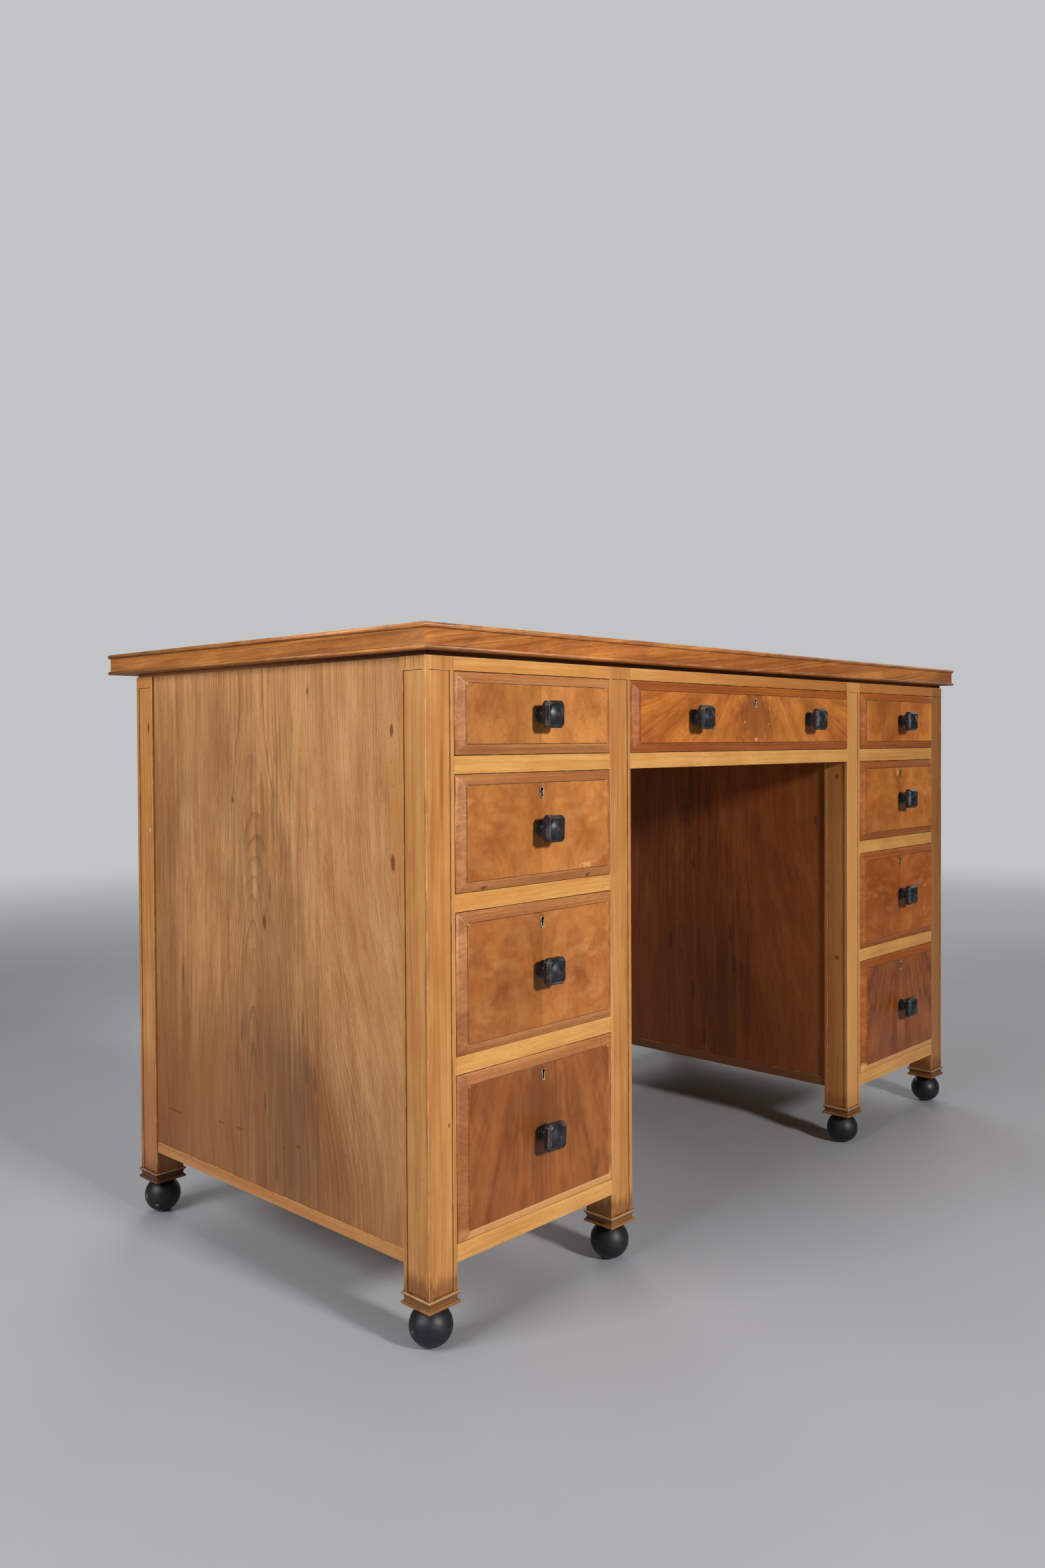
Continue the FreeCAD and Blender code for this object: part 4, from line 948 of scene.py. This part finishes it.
MIDDLE_RAIL = (OPENINGS[2][1], OPENINGS[3][0])
TOP_RAIL = (Z_LINE, Z_CARCASS)
LOW_RAIL = (Z_RAIL, Z_LOW_RAIL)
bm = new_mesh()
number = 10
for x0, x1 in spans:
    for low, _ in OPENINGS:
        board(bm, (x0, Y_FRONT, low - RAIL), (x1, Y_FRONT + RAIL_THICK, low), number)
        number += 1
    board(bm, (x0, Y_FRONT, Z_LINE), (x1, Y_FRONT + RAIL_THICK, Z_CARCASS), number)
    number += 1
for low, high in (MIDDLE_RAIL, TOP_RAIL):
    board(bm, (-INNER, Y_FRONT, low), (INNER, Y_FRONT + RAIL_THICK, high), number)
    number += 1
bm.normal_update()
bolts = sorted(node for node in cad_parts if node.endswith("_lock_bolt"))
print("mortises:", sum(mortise(bm, bolt) for bolt in bolts))
stamp(bm, number)
place_piece(bm, "front_rails_eased", "carcass", [honey_across], ["front_rails"])

bm = new_mesh()
y1 = Y_BACK - SET_IN
y0 = y1 - RAIL_THICK
for x0, x1, levels in [(a, b, (LOW_RAIL, TOP_RAIL)) for a, b in spans] + [
        (-INNER, INNER, (MIDDLE_RAIL, TOP_RAIL))]:
    for low, high in levels:
        board(bm, (x0, y0, low), (x1, y1, high), number)
        number += 1
place_piece(bm, "back_rails_eased", "carcass", [honey_across], ["back_rails"])

bm = new_mesh()
faces = [(side * x, side * inwards) for side in (-1, 1) for x, inwards in ((OUTER, -1), (INNER, 1))]
for x, inwards in faces:
    outer = x + inwards * SET_IN
    xs = sorted((outer, outer + inwards * SIDE_RAIL_THICK))
    board(bm, (xs[0], Y_FRONT + POST, Z_RAIL), (xs[1], Y_BACK - POST, Z_LOW_RAIL), number)
    number += 1
place_piece(bm, "side_rails_eased", "carcass", [honey_deep], ["side_rails"])

# %% [markdown]
# ## The moulded edging of the top
# The edging is four lengths planed with a bead above and a smaller one below, mitred at the
# corners. Each starts as a bar: the outer face is cut at the two bead lines, the strip
# between is pushed in, and the beads are rounded over with a wide bevel. Two cuts on the
# diagonal make the mitres.

# %% Build the edging
X_EDGE, Y_EDGE_FRONT, Y_EDGE_BACK = 634 * MM, -322.25 * MM, 339.75 * MM
Z_UNDER, Z_TOP = 744.2 * MM, 772.2 * MM
WIDE, PROUD, UPPER, LOWER = 24 * MM, 2.5 * MM, 6.0 * MM, 4.4 * MM


def edging_length(bm, start, end, out, number, finish):
    """One mitred length from corner to corner; out points away from the board."""
    start, end, out = Vector(start), Vector(end), Vector(out)
    along = (end - start).normalized()
    bar = new_mesh()
    corners = [start - along * 0.01 - out * WIDE, end + along * 0.01]
    low = Vector([min(c[i] for c in corners) for i in range(2)] + [Z_UNDER])
    high = Vector([max(c[i] for c in corners) for i in range(2)] + [Z_TOP])
    block(bar, low, high)
    for level in (Z_UNDER + LOWER, Z_TOP - UPPER):
        cut(bar, (0, 0, level), (0, 0, 1))
    fascia = [f for f in facing(bar, out)
              if Z_UNDER + LOWER < f.calc_center_median().z < Z_TOP - UPPER]
    bmesh.ops.inset_individual(bar, faces=fascia, thickness=0.02 * MM, depth=-PROUD)
    for v in {v for f in fascia for v in f.verts}:      # keep the strip full length
        v.co += along * (0.02 * MM if (v.co - start).dot(along) > 0.1 else -0.02 * MM)
    reach = max(v.co.dot(out) for v in bar.verts)
    for level, radius in ((Z_TOP - UPPER, 2.3 * MM), (Z_TOP, 2.6 * MM), (Z_UNDER, 1.9 * MM),
                          (Z_UNDER + LOWER, 1.6 * MM)):
        line = [e for e in bar.edges if all(abs(v.co.z - level) < 1e-6 and
                abs(v.co.dot(out) - reach) < 1e-6 for v in e.verts)]
        ease(bar, line, radius, 4)
    arris = bar.faces.layers.float["arris"]
    recess = bar.faces.layers.float["recess"]
    # Faces deep under the beads are marked as a recess: painted shade under the lips.
    for face in bar.faces:
        middle = face.calc_center_median()
        deep = reach - middle.dot(out)
        if face[arris] and deep > 1.2 * MM and Z_UNDER + 1 * MM < middle.z < Z_TOP - 1 * MM:
            face[arris], face[recess] = 0.0, 1.0
        elif face[arris]:
            face[arris] = 0.6
    for corner, way in ((start, -1), (end, 1)):
        cut(bar, corner, (along * way - out).normalized(), away=True)
    stamp(bar, number, finish)
    pour(bar, bm)


bm = new_mesh()
corners = [(x, y, 0) for x, y in ((-X_EDGE, Y_EDGE_FRONT), (X_EDGE, Y_EDGE_FRONT),
                                  (X_EDGE, Y_EDGE_BACK), (-X_EDGE, Y_EDGE_BACK))]
outwards = [(0, -1, 0), (1, 0, 0), (0, 1, 0), (-1, 0, 0)]
for i, out in enumerate(outwards):
    edging_length(bm, corners[i], corners[(i + 1) % 4], out, i + 1, i % 2)
place_piece(bm, "top_edging_moulded", "carcass", [edge_across, edge_deep], ["top_edging"])

# %% [markdown]
# ## The board of the top
# A writing top is veneered: two long leaves matched at the middle, a thin dark line, and a
# band with its grain across, mitred at the corners. Insetting the top face of a block twice
# draws the band and the line with their mitres already cut.

# %% Build the board of the top
bm = new_mesh()
low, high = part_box("top_board")
block(bm, low, high)
leaves = facing(bm, (0, 0, 1))
for width, cross, deep in ((42 * MM, 1, 2), (1.4 * MM, 3, 3)):
    ring = bmesh.ops.inset_region(bm, faces=leaves, thickness=width, depth=0.0,
                                  use_even_offset=True, use_boundary=True)
    for face in ring["faces"]:
        middle = face.calc_center_median()
        at_end = min(abs(middle.x - low.x), abs(middle.x - high.x)) < 0.06
        face.material_index = cross if at_end else deep
for v in bm.verts:
    v[bm.verts.layers.float["board"]] = 5.0
place_piece(bm, "top_board_banded", "carcass", [top_leaf, band_across, band_deep, stringing_and_shade_wood],
            ["top_board"], smooth=False)

# %% [markdown]
# ## Panels and the unseen carcass
# Flat panels are already the right shape in the frame, so they only need their finish: a
# frame node's own mesh is left alone and a material goes in its slot.

# %% Finish the flat parts
def finish_node(node, finish):
    """Give a frame node a finish in every slot."""
    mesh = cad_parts[node].data
    count = max(1, len(mesh.materials))
    mesh.materials.clear()
    for _ in range(count):
        mesh.materials.append(finish)


# The top spacers take the dark finish as painted shade in the recess under the top.
flat_parts = {"left_outer_panel": outer_veneer, "right_outer_panel": outer_veneer,
              "kneehole_panels": inner_veneer_shaded, "back_panels": back_veneer,
              "top_spacers": stringing_and_shade_wood, "top_screws": steel, "drawer_runners": oak_deep,
              "drawer_guides": oak_deep, "drawer_stops": oak_across, "bottom_boards": oak_across}
for node, finish in flat_parts.items():
    finish_node(node, finish)
print("finished as they are:", len(flat_parts), "nodes")

# %% [markdown]
# ## Drawer fronts
# Each front is a solid board with bevelled edges that rise to a flat field. A small step, a
# fillet, lifts the field, and its corners are slightly rounded. The frame's own front has
# every cut in it already, for the knob, the lock and the keyhole, so a copy of it is merged,
# its field is set back, inset a little and pushed out again as the step.

# %% Build a drawer front
BEVEL, STEP, LINE = 11.0 * MM, 0.9 * MM, 0.9 * MM     # widths of bevel and line, height of step


def drawer_front(name, edge_finish, field_finish, number):
    """A shaped front with its raised, veneered field."""
    low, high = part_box(name + "_front")
    bm = new_mesh(source=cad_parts[name + "_front"].data)
    for old in list(bm.loops.layers.uv):
        bm.loops.layers.uv.remove(old)
    bmesh.ops.remove_doubles(bm, verts=bm.verts, dist=2e-6)
    for v in bm.verts:
        if abs(v.co.y - low.y) < 1e-5:
            v.co.y += STEP
    field = [f for f in bm.faces if all(abs(v.co.y - low.y - STEP) < 1e-5 for v in f.verts)]
    ring = bmesh.ops.inset_region(bm, faces=field, thickness=LINE, depth=0.0,
                                  use_even_offset=True, use_boundary=True)
    # The thin ring round the field is marked as a recess: a painted dark line of shade at the foot of
    # the step.
    recess = bm.faces.layers.float["recess"]
    for face in ring["faces"]:
        face[recess] = 1.0
    raised = bmesh.ops.extrude_face_region(bm, geom=field)
    verts = [g for g in raised["geom"] if isinstance(g, bmesh.types.BMVert)]
    bmesh.ops.translate(bm, vec=(0, -STEP, 0), verts=verts)
    bmesh.ops.delete(bm, geom=[f for f in field if f.is_valid], context="FACES")
    bm.normal_update()
    x0, x1, z0, z1 = low.x, high.x, low.z, high.z
    inset = BEVEL + LINE

    def at_edge(v):
        return (min(abs(v.co.x - x0 - inset), abs(v.co.x - x1 + inset)) < 2e-4,
                min(abs(v.co.z - z0 - inset), abs(v.co.z - z1 + inset)) < 2e-4)
    corners = [e for e in bm.edges if abs(e.verts[0].co.y - e.verts[1].co.y) > STEP / 2
               and all(low.y - 1e-5 < v.co.y < low.y + STEP + 1e-5 and all(at_edge(v))
                       for v in e.verts)]
    ease(bm, corners, 2.2 * MM, 3)

    def near_edge(v):
        return min(abs(v.co.x - x0), abs(v.co.x - x1), abs(v.co.z - z0), abs(v.co.z - z1)) < 14 * MM
    rim = [e for e in bm.edges if e.is_manifold and e.calc_face_angle(0.0) > 1.0
           and all(abs(v.co.y - low.y) < 1e-5 for v in e.verts) and any(map(near_edge, e.verts))]
    ease(bm, rim, 0.3 * MM, 2)
    outer = [e for e in bm.edges if e.is_manifold and e.calc_face_angle(0.0) > 0.3
             and all(abs(v.co.y - Y_FRONT) < 1e-5 for v in e.verts)]
    ease(bm, outer, 0.4 * MM, 2)
    stamp(bm, number)
    for face in bm.faces:
        if face.calc_center_median().y < low.y + 0.2 * MM:
            face.material_index = 1
    place_piece(bm, name + "_front_shaped", name, [edge_finish, field_finish],
                [name + "_front"])


# %% [markdown]
# The fields are not all cut from one log. Each front has its own pair of leaves, so each
# has its own finish: arches, rays or plain cloud, always mirrored about the seam.

# %% The nine fields
names = [f"{side}_drawer_{n}" for side in ("left", "right") for n in (1, 2, 3, 4)]
names.append("centre_drawer")
FACE_AT = -312.7 * MM                    # y of the fields' faces
PALE, DEEP = (232, 176, 108), (122, 66, 30)
FIELD = dict(light=(206, 136, 68), middle=(168, 97, 43), dark=(108, 58, 26), laid="pair",
             stray=0.0, coat=0.08, rough=0.38, pores=0.4, cloud=0.75, bands=0.40, lines=0.30,
             sharp=3.0, ring=0.011, bend=0.05)
ARCHES = dict(tilt=(-0.42, 0.0, 0.0), bend=0.07, lines=0.25, bands=0.34, cloud=0.75,
              curls=[((9.0, 9.0, 22.0), 6.0, 0.42, PALE, 0.20),
                     ((16.0, 16.0, 11.0), 5.0, 0.40, DEEP, 0.16)])
RAYS = dict(laid="fan", pith=(0.03, 0.05, 0.0), bend=0.05, lines=0.45, bands=0.55, cloud=0.7,
            ring=0.005, sharp=4.0, curls=[((16.0, 16.0, 9.0), 6.0, 0.42, PALE, 0.07)])
# The lower fields take darker colours, step by step: partly their own tone, partly painted shade as
# the light falls off downwards.
figures = {
    "1": dict(pith=(-0.03, 0.03, 0.0), tilt=(0.3, 0.2, 0.0), cloud=0.9, ring=0.016, sharp=14.0,
              bend=0.10, lines=0.35, other_leaf=0.76,
              curls=[((11.0, 11.0, 16.0), 7.0, 0.045, DEEP, 0.34)]),
    "2": dict(ARCHES, pith=(-0.080, 0.030, 0.0), ring=0.008, other_leaf=0.84, light=(198, 126, 60),
              middle=(156, 87, 36)),
    "3": dict(ARCHES, pith=(-0.075, 0.030, 0.0), ring=0.010, other_leaf=0.80, light=(190, 118, 56),
              middle=(146, 80, 33)),
    "4": dict(RAYS, above=0.24, other_leaf=0.90, light=(166, 97, 44), middle=(124, 66, 26)),
    "c": dict(RAYS, above=0.10, other_leaf=0.95, light=(214, 132, 56), middle=(150, 80, 31)),
}
# The right fields take deeper, redder colours, darkest at the bottom: partly their own tone, partly
# painted shade as the light falls off to the right and downwards.
RIGHT_TONE_AND_SHADE = dict(light=(206, 126, 52), middle=(162, 88, 32), dark=(96, 48, 20))
right_tones_and_shade = {"right_drawer_1": dict(light=(226, 142, 64), middle=(176, 98, 40)),
         "right_drawer_3": dict(light=(190, 102, 36), middle=(142, 70, 22)),
         "right_drawer_4": dict(light=(164, 90, 37), middle=(116, 59, 23))}
mends = {
    "left_drawer_2": [((-0.369, FACE_AT, 0.5020), (0.016, 0.01, 0.005), 3.5, (420.0, 90.0, 420.0),
                       (228, 176, 112), 0.55)],
    "left_drawer_4": [
        ((-0.352, FACE_AT, 0.146), (0.008, 0.01, 0.020), 1.6, UP, (100, 56, 28), 0.6),
        ((-0.4475, FACE_AT, 0.225), (0.055, 0.01, 0.085), 1.8, UP, (104, 56, 25), 0.62)],
    "right_drawer_2": [((0.4355, FACE_AT, 0.594), (0.0042, 0.01, 0.008), 0.4, EVEN,
                        (216, 156, 88), 0.9)],
    "centre_drawer": [
        ((0.0, FACE_AT, 0.678), (0.075, 0.01, 0.055), 1.4, EVEN, (118, 62, 25), 0.65),
        ((-0.0268, FACE_AT, 0.6737), (0.0024, 0.01, 0.0024), 0.2, EVEN, (226, 160, 92), 0.9),
        ((0.0354, FACE_AT, 0.6714), (0.0020, 0.01, 0.0020), 0.2, EVEN, (226, 160, 92), 0.8),
        ((0.0014, FACE_AT, 0.6490), (0.0050, 0.01, 0.0045), 0.5, EVEN, (218, 154, 86), 0.8)],
}
for number, name in enumerate(names, start=31):
    low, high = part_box(name + "_front")
    middle = (low + high) / 2
    kind = dict(FIELD, **figures["c" if name == "centre_drawer" else name[-1]])
    if name.startswith("right"):
        kind.update(RIGHT_TONE_AND_SHADE)
        kind.update(right_tones_and_shade.get(name, {}))
    finish = wood(name + "_field", centre=(middle.x, low.y, middle.z), stains=mends.get(name, ()),
                  **kind)
    drawer_front(name, front_wood if name.startswith("left") else front_dark, finish, number)

# %% [markdown]
# ## Drawer boxes
# The sides are oak, joined to the front with lapped dovetails. The tails flare towards the
# front and the pins, part of the front, fill the gaps. Each tail and pin is a block with
# one end squeezed.

# %% Build the drawer boxes
SIDE, LAP, BOTTOM = 10 * MM, 8 * MM, 5 * MM


def wedge(bm, low, high, at_back, squeeze):
    """A block whose front or back end is made shorter by squeeze at top and bottom."""
    made = block(bm, low, high)
    y = high[1] if at_back else low[1]
    end = [v for v in made if abs(v.co.y - y) < 1e-6]
    middle = (low[2] + high[2]) / 2
    share = 1.0 - 2.0 * squeeze / (high[2] - low[2])
    bmesh.ops.scale(bm, vec=(1, 1, share), verts=end, space=Matrix.Translation((0, 0, -middle)))


def drawer_box(name, number):
    """The sides with their dovetails, the back and the bottom."""
    low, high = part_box(name + "_box")
    y_joint, y_root = low.y, low.y + LAP
    tails = 3 if high.z - low.z < 100 * MM else 5
    bm = new_mesh()
    pitch = (high.z - low.z) / tails
    for x0 in (low.x, high.x - SIDE):
        x1 = x0 + SIDE
        board(bm, (x0, y_root, low.z), (x1, high.y, high.z), number, 0, 0.8 * MM)
        for i in range(tails):
            z0 = low.z + i * pitch
            wedge(bm, (x0, y_joint, z0 + 0.10 * pitch), (x1, y_root + 0.9 * MM, z0 + 0.90 * pitch),
                  True, 1.6 * MM)
            stamp(bm, number, 0)
        for i in range(tails + 1):
            z = low.z + i * pitch
            z0 = max(low.z, z - 0.10 * pitch - 1.5 * MM)
            z1 = min(high.z, z + 0.10 * pitch + 1.5 * MM)
            wedge(bm, (x0 + 0.05 * MM, y_joint, z0), (x1 - 0.05 * MM, y_root, z1), False, 1.5 * MM)
            stamp(bm, number + 40, 1)
        number += 1
    z_floor = low.z + 7.6 * MM
    x0, x1 = low.x + SIDE, high.x - SIDE
    board(bm, (x0, high.y - SIDE, z_floor + BOTTOM), (x1, high.y, high.z - 8 * MM), number, 2,
          0.6 * MM)
    board(bm, (x0, y_root, z_floor), (x1, high.y, z_floor + BOTTOM), number + 1, 2, 0.3 * MM)
    place_piece(bm, name + "_box_joined", name, [oak_deep, front_wood, oak_across],
                [name + "_box"])


for number, name in enumerate(names):
    drawer_box(name, 50 + 5 * number)

# %% [markdown]
# ## Knobs
# The rose and neck are turned, with two fine rings, and flare out under the head. The head
# is square with its corners cut off and a wide facet round its face. From the face rises a
# low dome, which fingers rub back to bare wood.

# %% Build the knobs
NECK = [(0.0, 0.0), (10.3, 0.0), (10.5, 0.6), (10.5, 1.6), (9.8, 2.3), (8.6, 2.5), (8.3, 3.0),
        (8.5, 3.6), (8.2, 4.2), (7.2, 4.6), (7.0, 5.2), (7.1, 5.8), (6.6, 6.4), (5.9, 7.8),
        (5.7, 9.0), (6.1, 10.4), (7.4, 12.0), (9.6, 13.6), (12.6, 15.0), (13.0, 15.3), (0.0, 15.3)]
BOSS = [(0.0, -1.2), (11.4, -1.2), (11.4, 0.02), (10.9, 0.12), (10.0, 0.45), (8.8, 0.95), (7.4, 1.5),
        (5.8, 2.05), (4.2, 2.5), (2.6, 2.8), (1.2, 2.95), (0.0, 3.0)]
HEAD, CHAMFER, THICK, STEM = 31 * MM, 5.5 * MM, 8.8 * MM, 15.2 * MM


def knob(bm, x, y, z, turn):
    """One knob standing on the field at y. turn is how far it has worked round."""
    made = new_mesh("rubbed")
    out = (0, -1, 0)
    turned(made, [(r * MM, a * MM) for r, a in NECK], (x, y, z), out, (1, 0, 0), steps=40)
    face_at = y - STEM - THICK
    turned(made, [(r * MM, a * MM) for r, a in BOSS], (x, face_at, z), out, (1, 0, 0), steps=40)
    rubbed = made.faces.layers.float["rubbed"]
    for f in made.faces:
        if f.calc_center_median().y < face_at - 2.7 * MM:
            f[rubbed] = 1.0
    head = block(made, (x - HEAD / 2, face_at, z - HEAD / 2), (x + HEAD / 2, y - STEM, z + HEAD / 2))
    along = [e for e in edges_of(head) if abs(e.verts[0].co.y - e.verts[1].co.y) > THICK / 2]
    bmesh.ops.bevel(made, geom=along, offset=CHAMFER, offset_type="WIDTH", segments=1,
                    profile=0.5, affect="EDGES", material=-1)
    made.normal_update()

    def arrises(level):
        """The head's outer edges that lie at one level, or between levels."""
        return [e for e in made.edges if e.is_manifold and e.calc_face_angle(0.0) > 0.5 and
                all(max(abs(v.co.x - x), abs(v.co.z - z)) > HEAD / 2 - 4 * MM and level(v.co.y)
                    for v in e.verts)]
    facets = bmesh.ops.bevel(made, geom=arrises(lambda at: abs(at - face_at) < 1e-5),
                             offset=3.1 * MM, offset_type="OFFSET", segments=1, profile=0.5,
                             affect="EDGES", material=-1)
    for f in facets["faces"]:
        f[made.faces.layers.float["arris"]] = 0.38
    made.normal_update()
    ease(made, arrises(lambda at: face_at - 1e-5 < at < y - STEM + 1e-5), 0.45 * MM, 2)
    bmesh.ops.rotate(made, verts=made.verts, cent=(x, y, z), matrix=Matrix.Rotation(turn, 3, "Y"))
    stamp(made, 1)
    pour(made, bm)


turns = [0.0, 0.03, 0.02, 0.05, -0.02, 0.03, 0.0, 0.04, 0.02]
for name, turn in zip(names, turns):
    low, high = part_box(name + "_knob")
    z = (low.z + high.z) / 2
    xs = [(low.x + high.x) / 2]
    if name == "centre_drawer":
        xs = [low.x + HEAD / 2, high.x - HEAD / 2]
    bm = new_mesh("rubbed")
    for x in xs:
        knob(bm, x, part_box(name + "_front")[0].y, z, turn)
    place_piece(bm, name + "_knob_turned", name, [knob_black], [name + "_knob"])

# %% [markdown]
# ## Locks
# The locks and bolts keep the frame's own shape and only take their metals. What shows of
# a lock is the brass thread that lines its keyhole.

# %% Locks and bolts
locked = [name for name in names if name + "_lock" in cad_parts]
for name in locked:
    finish_node(name + "_lock", brass)
    finish_node(name + "_lock_bolt", steel)
print("locks:", len(locked))
